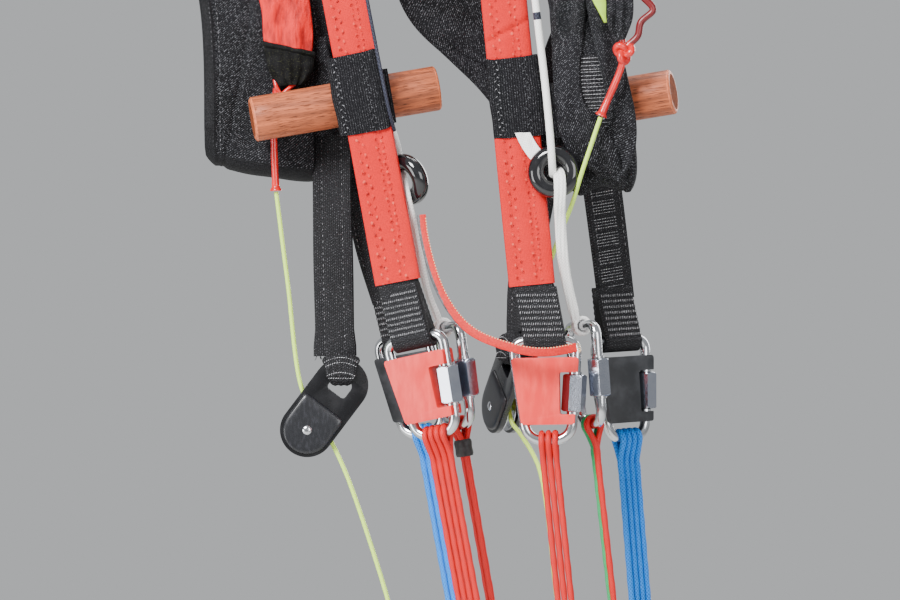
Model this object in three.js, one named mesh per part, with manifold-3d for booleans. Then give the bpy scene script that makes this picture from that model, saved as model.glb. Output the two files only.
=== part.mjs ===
// A pair of paraglider risers: the left and the right set, each from the main loop that hangs in the
// harness carabiner down to three quick links and the first stretch of the suspension lines.
// Millimetres. X is right, Y is away from the viewer, Z is up. The origin is the eye of the left main loop.
import * as THREE from "three";
import { mergeVertices } from "three/addons/utils/BufferGeometryUtils.js";
import Module from "manifold-3d";

const wasm = await Module();
wasm.setup();

// Gap between pieces that touch
const GAP = 0.3;

// Webbing and fabric
const FRONT_STRAP = { width: 18.6, thickness: 4 };
const REAR_STRAP = { width: 17.5, thickness: 3 };
const BRAKE_STRAP = { width: 16, thickness: 2 };
const TWIST_STEP = 8;
const WEBBING_END = { width: 17, height: 22, wall: 2.3 };
const MAIN_LOOP = { width: 20, wall: 3, eyeRadius: 8, eyeDrop: 24, tail: 62, tailThickness: 6.6 };
const KEEPER = { width: 21.6, wall: 1.4, height: 32, bridge: 19, pocket: 26, pocketShift: 0.8 };
const HANDLE_THICKNESS = 6;
const NECK_THICKNESS = 4;
const TIP = { width: 9, thickness: 1.4 };
const KNOT_RADIUS = 3.2;
const BAND = { wall: 1.3, height: 7 };
const TAB = { width: 5.5, thickness: 1 };
const RED_RIBBON = { width: 4, thickness: 0.8 };

// Hardware
// The wire's line from the middle of the top bar: half the bar, the sides at the shoulder, the foot's drop
const LINK = { wire: 2.1, top: 12.5, left: -8.8, right: 10.4, shoulder: -33, drop: 40, corner: 4.4 };
const LINK_STEPS = 34;
const NUT = { flats: 8.4, length: 15, z: -21, gate: 4 };
const INSERT = { thickness: 9, top: -6.6, bottom: -33.4, notch: 5.6 };
const RING = { radius: 7.1, section: 2.9 };
const TOGGLE = { radius: 9, length: 75, chamfer: 1 };
const BLOCK = { radius: 11, span: 22.6, thickness: 9, eye: 4.3, slot: 4.8, slotTop: -9, axle: 2 };
const SHEAVE = { rim: 10, root: 5.4, bore: 2.3, width: 4.2, rimEdge: 0.6, rootWidth: 2.6 };

// Cords
const BRAKE_LINE = 0.9;
const BRAKE_SHEATH = 1.6;
const SPEED_CORD = 1.5;
const TETHER = 2.2;
const CORD_WRAP = 2.5;
const LINE = 1.25;
const LINE_PITCH = 2.7;
const LINE_END = -130;
const CORD_SIDES = 8;

// The eye of the left main loop, from which the part is measured, in the frame of the tables below
const ORIGIN = [-104.5, 12, 456];

// Colour, roughness and metalness of each material
const LOOKS = {
  redFabric: [0xd8443c, 0.8, 0],
  blackWebbing: [0x24242a, 0.85, 0],
  blackFabric: [0x2a2a31, 0.9, 0],
  elastic: [0x1c1c20, 0.85, 0],
  wood: [0xb4703f, 0.5, 0],
  whiteCord: [0xe4e4de, 0.8, 0],
  redCord: [0xd8342c, 0.7, 0],
  blueCord: [0x1f7fd0, 0.7, 0],
  brightCord: [0xc4e85a, 0.6, 0],
  steel: [0xb4b8bd, 0.25, 1],
  redPlastic: [0xe8605a, 0.45, 0],
  darkPlastic: [0x303338, 0.5, 0],
  blackPlastic: [0x101012, 0.2, 0],
};

// Each set's places are measured from the middle of the view: across, away from the viewer, and up.
// lean is the tilt of a hanging piece, positive where its lower end goes right, and yaw turns it
// about its length, negative where its right edge comes nearer. A station of a strap is across, away,
// up, yaw and, where it isn't the full width, its width.
const SETS = [
  {
    side: "left",
    eye: { at: ORIGIN, lean: 10.6, yaw: -10 },
    frontStrap: [
      [-99.2, 6.3, 428, -10],
      [-20.8, 0, 7.2, -10],
    ],
    rearStrap: [
      [-99.2, 17.3, 428, -10],
      [-48.6, 36.4, 120, -10],
      [-44.4, 37.5, 88, -10],
      [-39.4, 39, 66, -10],
      [-29.9, 42, 20, -20],
      [-23.6, 43.6, 0, -27],
    ],
    brakeStrap: [
      [-47.8, 33, 64, -10],
      [-47.6, 31.4, 40, -4],
      [-46.4, 30, -22.6, 0],
    ],
    block: { at: [-44, 30, -34.4], lean: -37.1, yaw: 0 },
    keeper: { at: [-36.4, 1.4, 82.8], lean: 10.6, yaw: -12 },
    toggle: { at: [-40.6, 16.4, 79.2], rise: 9.8, yaw: 6 },
    handle: [
      [-91, 32, 176, 0],
      [-79.5, 30, 120, 0],
      [-78, 30, 66, 0],
      [-78, 33, 55, 0],
      [-78, 38, 51.5, 0],
      [-78, 43, 55, 0],
      [-78, 46, 66, 0],
      [-79.5, 46, 120, 0],
      [-91, 42, 176, 0],
    ],
    handleWidth: 44,
    neckLook: "redFabric",
    neck: [
      [-85, 24.4, 170, 0, 20],
      [-67, 24.4, 122, 0, 20],
      [-65.5, 24.4, 100, 0, 19],
      [-67.5, 24.4, 88, 0, 9],
    ],
    sheath: [
      [-70, 24.2, 85.4],
      [-71, 24.2, 66],
      [-70.2, 24.3, 44],
    ],
    brakeRoute: [
      [-70.1, 24.4, 43.6],
      [-65.6, 26.6, 8],
      [-59.4, 30, -37.2],
      [-53.2, 30, -46.9],
      [-47.5, 30, -58],
      [-41.2, 30, -72],
      [-26, 30, -118],
      [-23, 30, LINE_END],
    ],
    ring: { at: [-14.6, 6.2, 49.4], lean: 0, yaw: -48 },
    speedRoute: [
      [-83.2, 12.2, 414],
      [-81.6, 6, 402],
      [-81.4, -1, 388],
      [-30.4, -6.4, 105.6],
      [-24.2, -6.2, 76],
      [-19.4, -1.4, 62],
      [-14.6, 6.2, 56.5],
    ],
    tab: [
      [-31.6, 4.6, 64, -30],
      [-28, 7.4, 57, -40],
      [-26.2, 10, 52, -48],
    ],
    tetherRoute: [
      [-14.6, 6.2, 42.3],
      [-14.2, 5.8, 34],
      [-12, 8, 17],
      [-8.6, 12, 2],
      [-3.2, 16, -11.2],
    ],
    links: [
      {
        name: "front", at: [-14.4, 0, -15.2], lean: 12.5, yaw: -27,
        lines: 4, lineLean: 10.4, cord: "redCord", insert: "redPlastic",
      },
      {
        name: "rear", at: [-18.4, 44, -15.2], lean: 10.5, yaw: -27,
        lines: 3, lineLean: 10.3, cord: "blueCord", insert: "darkPlastic",
      },
      {
        name: "third", at: [-2.8, 17, -11.2], lean: 9.3, yaw: -59,
        lines: 2, lineLean: 9.9, cord: "redCord", band: true,
      },
    ],
  },
  {
    side: "right",
    eye: { at: [-11.5, 12, 456], lean: 5.6, yaw: -4 },
    frontStrap: [
      [-8.8, 6.3, 428, -4],
      [32.8, 0, 6, -4],
    ],
    rearStrap: [
      [-8.8, 17.3, 428, -4],
      [61.4, 40, 48, 30],
      [67.4, 43.9, 0, 35],
    ],
    brakeStrap: [
      [50.6, 30.4, 112, 24],
      [43.8, 30.3, 92, -12],
      [37.5, 36.2, 60, -14],
      [34.6, 33.6, 40, -24],
      [31.4, 30.6, 20, -37],
      [28.6, 27.8, 2, -50],
      [27.2, 24.2, -13.6, -66],
    ],
    block: { at: [27.1, 24, -26.1], lean: -42, yaw: -68 },
    keeper: { at: [26.6, 1.4, 81.2], lean: 5.6, yaw: -4 },
    toggle: { at: [52.2, 10.7, 77.4], rise: 9, yaw: -12 },
    handle: [
      [5, 24, 180, 10],
      [-12, 27, 150, 0],
      [-8, 34, 120, -5],
      [13, 34.5, 95, -10],
      [40, 28.6, 67, -20],
      [56, 20, 52, -35],
      [63, 7, 47.5, -35],
      [66, -6, 55, -30],
      [62, -9, 76, -10],
      [56, -8, 100, 0],
      [50, -3, 120, 0],
      [44, 7, 150, 10],
      [27, 16.6, 180, 10],
    ],
    handleWidth: 21,
    neckLook: "blackFabric",
    neck: [
      [46, -6, 168, 0, 10],
      [62, -15, 140, 0, 10],
      [68.4, -16.4, 120, 0, 10],
      [68.8, -16.4, 105, 0, 7],
    ],
    sheath: [
      [76.4, -16.2, 121],
      [80.8, -16.2, 115.6],
      [76, -16.2, 110.6],
      [74.6, -16.2, 105],
      [69.4, -16.2, 99.6],
      [68.2, -16.2, 93],
      [60, -16.4, 73.2],
    ],
    knot: [69.2, -16.2, 98.6],
    tip: [
      [54.6, -4.8, 160, 10, 10],
      [60.4, -11, 124, 10, 10.6],
      [62.2, -13, 110.6, 10, 1.6],
    ],
    brakeRoute: [
      [59.9, -16.4, 72.8],
      [53, -4.4, 54],
      [46, 8, 34],
      [39, 26, 12],
      [31, 34, -4],
      [25.4, 38.6, -15],
      [21.2, 38.5, -27.6],
      [23.2, 33.5, -37.8],
      [25, 29.2, -49.3],
      [28.4, 27.6, -54],
      [36, 27, -68],
      [42.8, 27, -118],
      [44.6, 27, LINE_END],
    ],
    ring: { at: [41.6, -6.6, 51.2], lean: 0, yaw: -6 },
    speedRoute: [
      [4.4, 12.2, 414],
      [5.4, 6, 402],
      [6, -1, 388],
      [34, -6.4, 120],
      [38.6, -7, 80],
      [41.2, -6.6, 58.4],
    ],
    tab: [
      [28.4, -3.4, 64.2, -4],
      [31.4, -4, 58, -4],
      [32, -4.4, 57, -4],
    ],
    tetherRoute: [
      [42.2, -6.6, 44.2],
      [43.2, -4.4, 36],
      [45.4, 4, 14],
      [51.4, 13.8, -10.4],
    ],
    links: [
      {
        name: "front", at: [38, 0, -16.4], lean: 1, yaw: -4,
        lines: 3, lineLean: 6, cord: "redCord", insert: "redPlastic",
      },
      {
        name: "rear", at: [68.8, 44, -16.4], lean: 3.5, yaw: 35,
        lines: 4, lineLean: 4.6, cord: "blueCord", insert: "darkPlastic",
      },
      {
        name: "third", at: [52.8, 14.6, -10.4], lean: 6, yaw: -65,
        lines: 2, lineLean: 6.4, cord: "redCord",
      },
    ],
  },
];

// The red ribbon that hangs from the left tether to the foot of the right one
const RIBBON_ROUTE = [
  [-11.4, 0.8, 34],
  [-11, -1.2, 29],
  [-10.1, -3.1, 23.9],
  [-9, -4.8, 18.9],
  [-7.6, -6.3, 13.8],
  [-6, -7.7, 8.8],
  [-4, -9, 3.9],
  [-1.5, -10.2, -0.8],
  [1.4, -11.2, -5.2],
  [4.9, -12.2, -9.3],
  [9, -13.2, -12.7],
  [13.7, -14.4, -15.2],
  [18.6, -15.5, -17.1],
  [23.8, -16.5, -18.7],
  [29, -17, -20],
  [34.4, -17.2, -20.7],
  [39.8, -16.8, -20.7],
  [45.1, -15.7, -19.9],
  [50.3, -14.5, -18.8],
];

const part = new THREE.Group();
const view = new THREE.Group();
view.position.set(-ORIGIN[0], -ORIGIN[1], -ORIGIN[2]);
part.add(view);

const radians = THREE.MathUtils.degToRad;

function addMesh(name, geometry, look) {
  const [color, roughness, metalness] = LOOKS[look];
  const mesh = new THREE.Mesh(geometry, new THREE.MeshStandardMaterial({ color, roughness, metalness }));
  mesh.name = name;
  view.add(mesh);
}

// Joins and cuts

function solidOf(geometry) {
  const bare = new THREE.BufferGeometry();
  bare.setAttribute("position", geometry.getAttribute("position"));
  bare.setIndex(geometry.index);
  const merged = mergeVertices(bare, 1e-3);
  const numProp = 3;
  const vertProperties = new Float32Array(merged.attributes.position.array);
  const triVerts = new Uint32Array(merged.index.array);
  return new wasm.Manifold(new wasm.Mesh({ numProp, vertProperties, triVerts }));
}

function geometryOf(solid) {
  const mesh = solid.getMesh();
  const geometry = new THREE.BufferGeometry();
  geometry.setAttribute("position", new THREE.BufferAttribute(mesh.vertProperties, mesh.numProp));
  geometry.setIndex(new THREE.BufferAttribute(mesh.triVerts, 1));
  geometry.computeVertexNormals();
  return geometry;
}

const join = (...shapes) => geometryOf(shapes.map(solidOf).reduce((whole, next) => whole.add(next)));
const cut = (shape, ...tools) =>
  geometryOf(tools.map(solidOf).reduce((left, tool) => left.subtract(tool), solidOf(shape)));

// Places and turns

// A piece that hangs at a point: turned about its own length, then leaned in the view's plane
function hanging({ at, lean, yaw = 0 }) {
  return new THREE.Matrix4()
    .makeTranslation(...at)
    .multiply(new THREE.Matrix4().makeRotationY(-radians(lean)))
    .multiply(new THREE.Matrix4().makeRotationZ(radians(yaw)));
}

// A flat block that leans in its own plane, and that plane is then turned
function turnedPlane({ at, lean, yaw }) {
  return new THREE.Matrix4()
    .makeTranslation(...at)
    .multiply(new THREE.Matrix4().makeRotationZ(radians(yaw)))
    .multiply(new THREE.Matrix4().makeRotationY(-radians(lean)));
}

// Basic shapes, each about its own origin

const AXIS_X = new THREE.Vector3(1, 0, 0);
const AXIS_Y = new THREE.Vector3(0, 1, 0);
const AXIS_Z = new THREE.Vector3(0, 0, 1);

function box(width, depth, height) {
  return new THREE.BoxGeometry(width, depth, height);
}

// A cylinder along X
function rod(radius, length, sides = 12) {
  return new THREE.CylinderGeometry(radius, radius, length, sides).rotateZ(Math.PI / 2);
}

// An outline drawn across and up, thick from front to back
function plate(shape, thickness, curveSegments = 10) {
  const geometry = new THREE.ExtrudeGeometry(shape, { depth: thickness, bevelEnabled: false, curveSegments });
  geometry.translate(0, 0, -thickness / 2);
  return geometry.applyMatrix4(new THREE.Matrix4().makeBasis(AXIS_X, AXIS_Z, AXIS_Y.clone().negate()));
}

// An outline drawn from front to back and up, as wide as a strap
function sideProfile(shape, width, curveSegments = 8) {
  const geometry = new THREE.ExtrudeGeometry(shape, { depth: width, bevelEnabled: false, curveSegments });
  geometry.translate(0, 0, -width / 2);
  return geometry.applyMatrix4(new THREE.Matrix4().makeBasis(AXIS_Y, AXIS_Z, AXIS_X));
}

function polygon(points) {
  return new THREE.Shape(points.map(([x, y]) => new THREE.Vector2(x, y)));
}

function circle(radius, sides) {
  const turn = (2 * Math.PI) / sides;
  const corner = (_, i) => [radius * Math.cos(turn * i), radius * Math.sin(turn * i)];
  return polygon(Array.from({ length: sides }, corner));
}

const vector = ([x, y, z]) => new THREE.Vector3(x, y, z);

// A round cord along a smooth route
function cord(route, radius, steps = 2 * route.length) {
  const points = route.map(vector);
  const extrudePath =
    points.length > 2
      ? new THREE.CatmullRomCurve3(points, false, "centripetal")
      : new THREE.LineCurve3(...points);
  return new THREE.ExtrudeGeometry(circle(radius, CORD_SIDES), { steps, extrudePath, bevelEnabled: false });
}

// The stations of a strap, with more of them where it turns about its length
function spreadTwist(stations) {
  return stations.flatMap((station, i) => {
    const next = stations[i + 1];
    if (!next) return [station];
    const turn = Math.abs((next[3] ?? 0) - (station[3] ?? 0));
    const parts = Math.max(1, Math.ceil(turn / TWIST_STEP));
    return Array.from({ length: parts }, (_, k) => station.map((value, j) => value + ((next[j] - value) * k) / parts));
  });
}

// A strap of rectangular section through its stations. Where no direction across is given, its face
// looks at the viewer.
function strap(given, width, thickness, across) {
  const stations = spreadTwist(given);
  const centres = stations.map(vector);
  const last = centres.length - 1;
  const frames = stations.map(([, , , yaw = 0, own = width], i) => {
    const before = centres[Math.max(i - 1, 0)];
    const along = centres[Math.min(i + 1, last)].clone().sub(before).normalize();
    const wide = across ? vector(across).applyAxisAngle(AXIS_Z, radians(yaw)) : faceOf(yaw).cross(along);
    wide.addScaledVector(along, -wide.dot(along)).normalize();
    return { centre: centres[i], wide, thick: along.clone().cross(wide), own };
  });
  const geometry = new THREE.BoxGeometry(1, 1, 1, 1, 1, last);
  const position = geometry.getAttribute("position");
  for (let i = 0; i < position.count; i++) {
    const { centre, wide, thick, own } = frames[Math.round((position.getZ(i) + 0.5) * last)];
    const point = centre.clone();
    point.addScaledVector(wide, position.getX(i) * own);
    point.addScaledVector(thick, position.getY(i) * thickness);
    position.setXYZ(i, point.x, point.y, point.z);
  }
  return geometry;
}

// The direction in which the face of a strap turned by yaw looks
function faceOf(yaw) {
  return new THREE.Vector3(Math.sin(radians(yaw)), -Math.cos(radians(yaw)), 0);
}

// Webbing

// The loop that the carabiner goes through, with its doubled tail
function mainLoop() {
  const { wall, eyeRadius, eyeDrop, tail, tailThickness } = MAIN_LOOP;
  const outer = eyeRadius + wall;
  const shape = new THREE.Shape();
  shape.moveTo(-tailThickness / 2, -tail);
  shape.lineTo(tailThickness / 2, -tail);
  shape.lineTo(tailThickness / 2, -eyeDrop - wall);
  shape.lineTo(outer, 0);
  shape.absarc(0, 0, outer, 0, Math.PI, false);
  shape.lineTo(-tailThickness / 2, -eyeDrop - wall);
  const eye = new THREE.Path();
  eye.moveTo(eyeRadius, 0);
  eye.absarc(0, 0, eyeRadius, 0, Math.PI, false);
  eye.lineTo(0, -eyeDrop);
  shape.holes.push(eye);
  return sideProfile(shape, MAIN_LOOP.width, 10);
}

// The end of a strap folded round the top bar of a link
function webbingEnd() {
  const { width, height, wall } = WEBBING_END;
  const bore = LINK.wire + GAP + 0.2;
  const shape = new THREE.Shape();
  shape.moveTo(wall, height);
  shape.lineTo(-wall, height);
  shape.lineTo(-bore - wall, 0);
  shape.absarc(0, 0, bore + wall, Math.PI, 2 * Math.PI, false);
  const hole = new THREE.Path();
  hole.absarc(0, 0, bore, 0, 2 * Math.PI, true);
  shape.holes.push(hole);
  return sideProfile(shape, width, 8);
}

// The elastic sleeve round the front strap, with the pocket behind it that holds the toggle
function toggleKeeper(set) {
  const { width, wall, height, bridge: bridgeWidth, pocket, pocketShift } = KEEPER;
  const place = hanging(set.keeper);
  const toPocket = set.toggle.at[1] - set.keeper.at[1];
  const sleeve = box(width, FRONT_STRAP.thickness + 2 * wall, height).applyMatrix4(place);
  const bridge = box(bridgeWidth, toPocket, TOGGLE.radius * 2).translate(0, toPocket / 2, -3).applyMatrix4(place);
  const tube = rod(TOGGLE.radius + GAP + wall, pocket, 20)
    .translate(pocketShift, 0, 0)
    .applyMatrix4(toggleAtStrap(set));
  const strapRoom = strap(set.frontStrap, FRONT_STRAP.width + 2 * GAP, FRONT_STRAP.thickness + 2 * GAP);
  const toggleRoom = rod(TOGGLE.radius + GAP, 2 * TOGGLE.length, 20).applyMatrix4(togglePlace(set));
  return cut(join(sleeve, bridge, tube), strapRoom, toggleRoom);
}

// Hardware

function togglePlace({ toggle }) {
  return new THREE.Matrix4()
    .makeTranslation(...toggle.at)
    .multiply(new THREE.Matrix4().makeRotationZ(radians(toggle.yaw)))
    .multiply(new THREE.Matrix4().makeRotationY(-radians(toggle.rise)));
}

// The toggle's frame, moved along the toggle to where it passes the strap
function toggleAtStrap(set) {
  const along = AXIS_X.clone().transformDirection(togglePlace(set));
  const reach = (set.keeper.at[0] - set.toggle.at[0]) / along.x;
  return togglePlace(set).multiply(new THREE.Matrix4().makeTranslation(reach, 0, 0));
}

function toggle() {
  const { radius, length, chamfer } = TOGGLE;
  const half = length / 2;
  const profile = [
    [0, -half],
    [radius - chamfer, -half],
    [radius, chamfer - half],
    [radius, half - chamfer],
    [radius - chamfer, half],
    [0, half],
  ].map(([r, y]) => new THREE.Vector2(r, y));
  return new THREE.LatheGeometry(profile, 20).rotateZ(-Math.PI / 2);
}

// The wire of a quick link, open on its right side between the two threads
function linkWire(radius) {
  const { top, left, right, shoulder, drop, corner } = LINK;
  const sideX = (z) => top + ((right - top) * (z + corner)) / (shoulder + corner);
  const upperEnd = NUT.z + NUT.gate / 2;
  const lowerEnd = NUT.z - NUT.gate / 2;
  const middle = (left + right) / 2;
  const path = new THREE.CurvePath();
  const at = (x, z) => new THREE.Vector3(x, 0, z);
  const line = (a, b) => path.add(new THREE.LineCurve3(a, b));
  const bend = (a, b, c) => path.add(new THREE.QuadraticBezierCurve3(a, b, c));
  line(at(sideX(upperEnd), upperEnd), at(top, -corner));
  bend(at(top, -corner), at(top, 0), at(top - corner, 0));
  line(at(top - corner, 0), at(corner - top, 0));
  bend(at(corner - top, 0), at(-top, 0), at(-top, -corner));
  line(at(-top, -corner), at(left, shoulder));
  bend(at(left, shoulder), at(left + 0.6, -drop), at(middle, -drop));
  bend(at(middle, -drop), at(right - 0.6, -drop), at(right, shoulder));
  line(at(right, shoulder), at(sideX(lowerEnd), lowerEnd));
  const options = { steps: LINK_STEPS, extrudePath: path, bevelEnabled: false };
  return new THREE.ExtrudeGeometry(circle(radius, CORD_SIDES), options);
}

function sideSlope() {
  return Math.atan2(LINK.top - LINK.right, -LINK.shoulder - LINK.corner);
}

function nutCentre() {
  const x = LINK.top - Math.tan(sideSlope()) * (-NUT.z - LINK.corner);
  return new THREE.Vector3(x, 0, NUT.z);
}

// The hexagonal gate nut, bored for the thread
function linkNut(grow = 0) {
  const corner = NUT.flats / Math.sqrt(3) + grow;
  const shape = circle(corner, 6);
  if (!grow) {
    const bore = new THREE.Path();
    bore.absarc(0, 0, LINK.wire + GAP, 0, 2 * Math.PI, true);
    shape.holes.push(bore);
  }
  const depth = NUT.length + 2 * grow;
  const geometry = new THREE.ExtrudeGeometry(shape, { depth, bevelEnabled: false, curveSegments: 10 });
  geometry.translate(0, 0, -depth / 2).rotateY(sideSlope());
  return geometry.translate(...nutCentre().toArray());
}

// The moulded insert that keeps webbing and lines in place, with grooves for the wire and a notch for the nut
function linkInsert() {
  const { thickness, top, bottom, notch } = INSERT;
  const { left, right, wire } = LINK;
  const reach = LINK.top + wire / 2;
  const outline = polygon([
    [-reach, top],
    [reach, top],
    [right + wire / 2, bottom],
    [left - wire / 2, bottom],
  ]);
  const nutNotch = box(2 * (reach - notch), 2 * thickness, NUT.length + 6 * GAP);
  nutNotch.translate(reach, 0, NUT.z);
  return cut(plate(outline, thickness), linkWire(wire + GAP), nutNotch);
}

// The strands of a link's lines, looped round its lower bar and ending in their own loops below
function linkLines(link, count, cordLean, room) {
  const place = hanging(link);
  const { drop, wire, left, right } = LINK;
  const middle = (left + right) / 2;
  const width = count * LINE_PITCH;
  const loop = rod(wire + GAP + 2 * LINE, width).translate(middle, 0, -drop).applyMatrix4(place);
  const slope = Math.tan(radians(cordLean));
  const pieces = [cut(loop, room.clone().applyMatrix4(place))];
  for (let i = 0; i < count; i++) {
    const offset = (i - (count - 1) / 2) * LINE_PITCH;
    const start = new THREE.Vector3(middle + offset, 0, -drop - wire - LINE - GAP).applyMatrix4(place);
    const run = start.z - LINE_END;
    const end = new THREE.Vector3(start.x + run * slope, start.y, LINE_END);
    pieces.push(cord([start.toArray(), end.toArray()], LINE, 1));
    pieces.push(endLoop(end, LINE));
  }
  return join(...pieces);
}

// The rubber band that holds a link's lines together below its foot
function lineBand(count) {
  const { wall, height } = BAND;
  const outline = (radius, Kind) => {
    const half = ((count - 1) * LINE_PITCH) / 2;
    const shape = new Kind();
    shape.absarc(half, 0, radius, -Math.PI / 2, Math.PI / 2, false);
    shape.absarc(-half, 0, radius, Math.PI / 2, 1.5 * Math.PI, false);
    return shape;
  };
  const inner = LINE + GAP;
  const shape = outline(inner + wall, THREE.Shape);
  shape.holes.push(outline(inner, THREE.Path));
  const geometry = new THREE.ExtrudeGeometry(shape, { depth: height, bevelEnabled: false, curveSegments: 8 });
  const top = -LINK.drop - LINK.wire - 2 * LINE - 3 * GAP;
  return geometry.translate((LINK.left + LINK.right) / 2, 0, top - height);
}

// The sewn eye at the lower end of a line
function endLoop(end, radius) {
  const eye = new THREE.TorusGeometry(2 * radius, 0.7 * radius, 5, 7);
  return eye.rotateX(Math.PI / 2).translate(end.x, end.y, end.z - 2 * radius);
}

// The block that guides the brake line: two cheeks joined at the eye end and by the axle
function pulleyBlock() {
  const { radius, span, thickness, eye, slot, slotTop, axle } = BLOCK;
  const outline = new THREE.Shape();
  outline.moveTo(radius, 0);
  outline.absarc(0, 0, radius, 0, Math.PI, false);
  outline.lineTo(-radius, -span);
  outline.absarc(0, -span, radius, Math.PI, 2 * Math.PI, false);
  const hole = new THREE.Path();
  hole.absarc(0, 0, eye, 0, 2 * Math.PI, true);
  outline.holes.push(hole);
  const slotHeight = span + radius + slotTop + 2;
  const opening = box(2 * radius + 4, slot, slotHeight).translate(0, 0, slotTop - slotHeight / 2);
  const pin = rod(axle, thickness - 0.4, 12).rotateZ(Math.PI / 2).translate(0, 0, -span);
  return join(cut(plate(outline, thickness, 9), opening), pin);
}

function pulleySheave() {
  const { rim, root, bore, width, rimEdge, rootWidth } = SHEAVE;
  const half = width / 2;
  const profile = [
    [bore, -half],
    [rim, -half],
    [rim, rimEdge - half],
    [root, -rootWidth / 2],
    [root, rootWidth / 2],
    [rim, half - rimEdge],
    [rim, half],
    [bore, half],
    [bore, -half],
  ].map(([r, y]) => new THREE.Vector2(r, y));
  return new THREE.LatheGeometry(profile, 18).translate(0, 0, -BLOCK.span);
}

// The ring between the speed cord and the tether, thicker by grow
function guideRing(grow) {
  return new THREE.TorusGeometry(RING.radius, RING.section + grow, 8, 16).rotateX(Math.PI / 2);
}

// The bunched loop of webbing through the block's eye
function blockLoop() {
  const rim = BLOCK.radius - BLOCK.eye;
  const room = 0.8;
  const wall = 1.8;
  const innerHeight = rim + 2 * room;
  const innerDepth = BLOCK.thickness + 2 * room;
  const centreZ = BLOCK.eye + rim / 2;
  const ring = cut(
    box(4.2, innerDepth + 2 * wall, innerHeight + 2 * wall),
    box(8, innerDepth, innerHeight),
  );
  return ring.translate(0, 0, centreZ);
}

// One set

for (const set of SETS) {
  const add = (name, geometry, look) => addMesh(`${set.side}_${name}`, geometry, look);
  const blockPlace = turnedPlane(set.block);

  add("main_loop", mainLoop().applyMatrix4(hanging(set.eye)), "blackWebbing");
  add("front_riser", strap(set.frontStrap, FRONT_STRAP.width, FRONT_STRAP.thickness), "redFabric");
  add("toggle_keeper", toggleKeeper(set), "elastic");
  add("toggle", toggle().applyMatrix4(togglePlace(set)), "wood");

  const [, rearLink] = set.links;
  const rearEnd = webbingEnd().applyMatrix4(hanging(rearLink));
  const rearStrap = strap(set.rearStrap, REAR_STRAP.width, REAR_STRAP.thickness);
  add("rear_riser", join(rearStrap, rearEnd), "blackWebbing");
  add("front_webbing_end", webbingEnd().applyMatrix4(hanging(set.links[0])), "blackWebbing");

  const brakeStrap = strap(set.brakeStrap, BRAKE_STRAP.width, BRAKE_STRAP.thickness);
  const loopPlace = turnedPlane({ ...set.block, lean: 0 });
  add("brake_strap", join(brakeStrap, blockLoop().applyMatrix4(loopPlace)), "blackWebbing");
  add("pulley_block", pulleyBlock().applyMatrix4(blockPlace), "blackPlastic");
  add("pulley_sheave", pulleySheave().applyMatrix4(blockPlace), "steel");

  add("brake_handle", strap(set.handle, set.handleWidth, HANDLE_THICKNESS, [1, 0, 0]), "blackFabric");
  add("handle_neck", strap(set.neck, set.handleWidth, NECK_THICKNESS), set.neckLook);
  const knot = set.knot && new THREE.IcosahedronGeometry(KNOT_RADIUS, 2).translate(...set.knot);
  add("brake_sheath", join(cord(set.sheath, BRAKE_SHEATH), ...(knot ? [knot] : [])), "redCord");
  if (set.tip) add("neck_tip", strap(set.tip, TIP.width, TIP.thickness), "brightCord");
  const brakeEye = endLoop(vector(set.brakeRoute.at(-1)), BRAKE_LINE);
  add("brake_line", join(cord(set.brakeRoute, BRAKE_LINE), brakeEye), "brightCord");

  const ringPlace = hanging(set.ring);
  const ring = (grow) => guideRing(grow).applyMatrix4(ringPlace);
  const ringWrap = (width, z) =>
    rod(RING.section + CORD_WRAP, width).translate(0, 0, z).applyMatrix4(ringPlace);
  add("guide_ring", ring(0), "blackPlastic");
  add("ring_tab", strap(set.tab, TAB.width, TAB.thickness), "whiteCord");
  const upperWrap = ringWrap(2 * SPEED_CORD, RING.radius);
  add("speed_cord", cut(join(cord(set.speedRoute, SPEED_CORD), upperWrap), ring(GAP)), "whiteCord");

  for (const link of set.links) {
    const place = hanging(link);
    const wireRoom = linkWire(LINK.wire + GAP);
    add(`${link.name}_link`, linkWire(LINK.wire).applyMatrix4(place), "steel");
    add(`${link.name}_nut`, linkNut().applyMatrix4(place), "steel");
    if (link.insert) add(`${link.name}_insert`, linkInsert().applyMatrix4(place), link.insert);
    if (link.band) add(`${link.name}_band`, lineBand(link.lines).applyMatrix4(place), "elastic");
    add(`${link.name}_lines`, linkLines(link, link.lines, link.lineLean, wireRoom), link.cord);
  }

  const thirdPlace = hanging(set.links[2]);
  const lowerWrap = ringWrap(2 * TETHER, -RING.radius);
  const linkWrap = rod(LINK.wire + GAP + CORD_WRAP, 2 * TETHER).applyMatrix4(thirdPlace);
  const tether = join(cord(set.tetherRoute, TETHER), lowerWrap, linkWrap);
  add("tether", cut(tether, ring(GAP), linkWire(LINK.wire + GAP).applyMatrix4(thirdPlace)), "whiteCord");
}

addMesh("red_ribbon", strap(RIBBON_ROUTE, RED_RIBBON.width, RED_RIBBON.thickness), "redFabric");

export default part;
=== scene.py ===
"""The looks of a pair of paraglider risers, built round their CAD frame.

The tables give places in millimetres from the middle of the view: across, away from the viewer, up.
"""

import math

import bmesh
import bpy
import numpy as np
from bpy.props import FloatProperty, FloatVectorProperty, IntProperty, PointerProperty
from mathutils import Matrix, Vector
from mathutils.geometry import convex_hull_2d, tessellate_polygon


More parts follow.
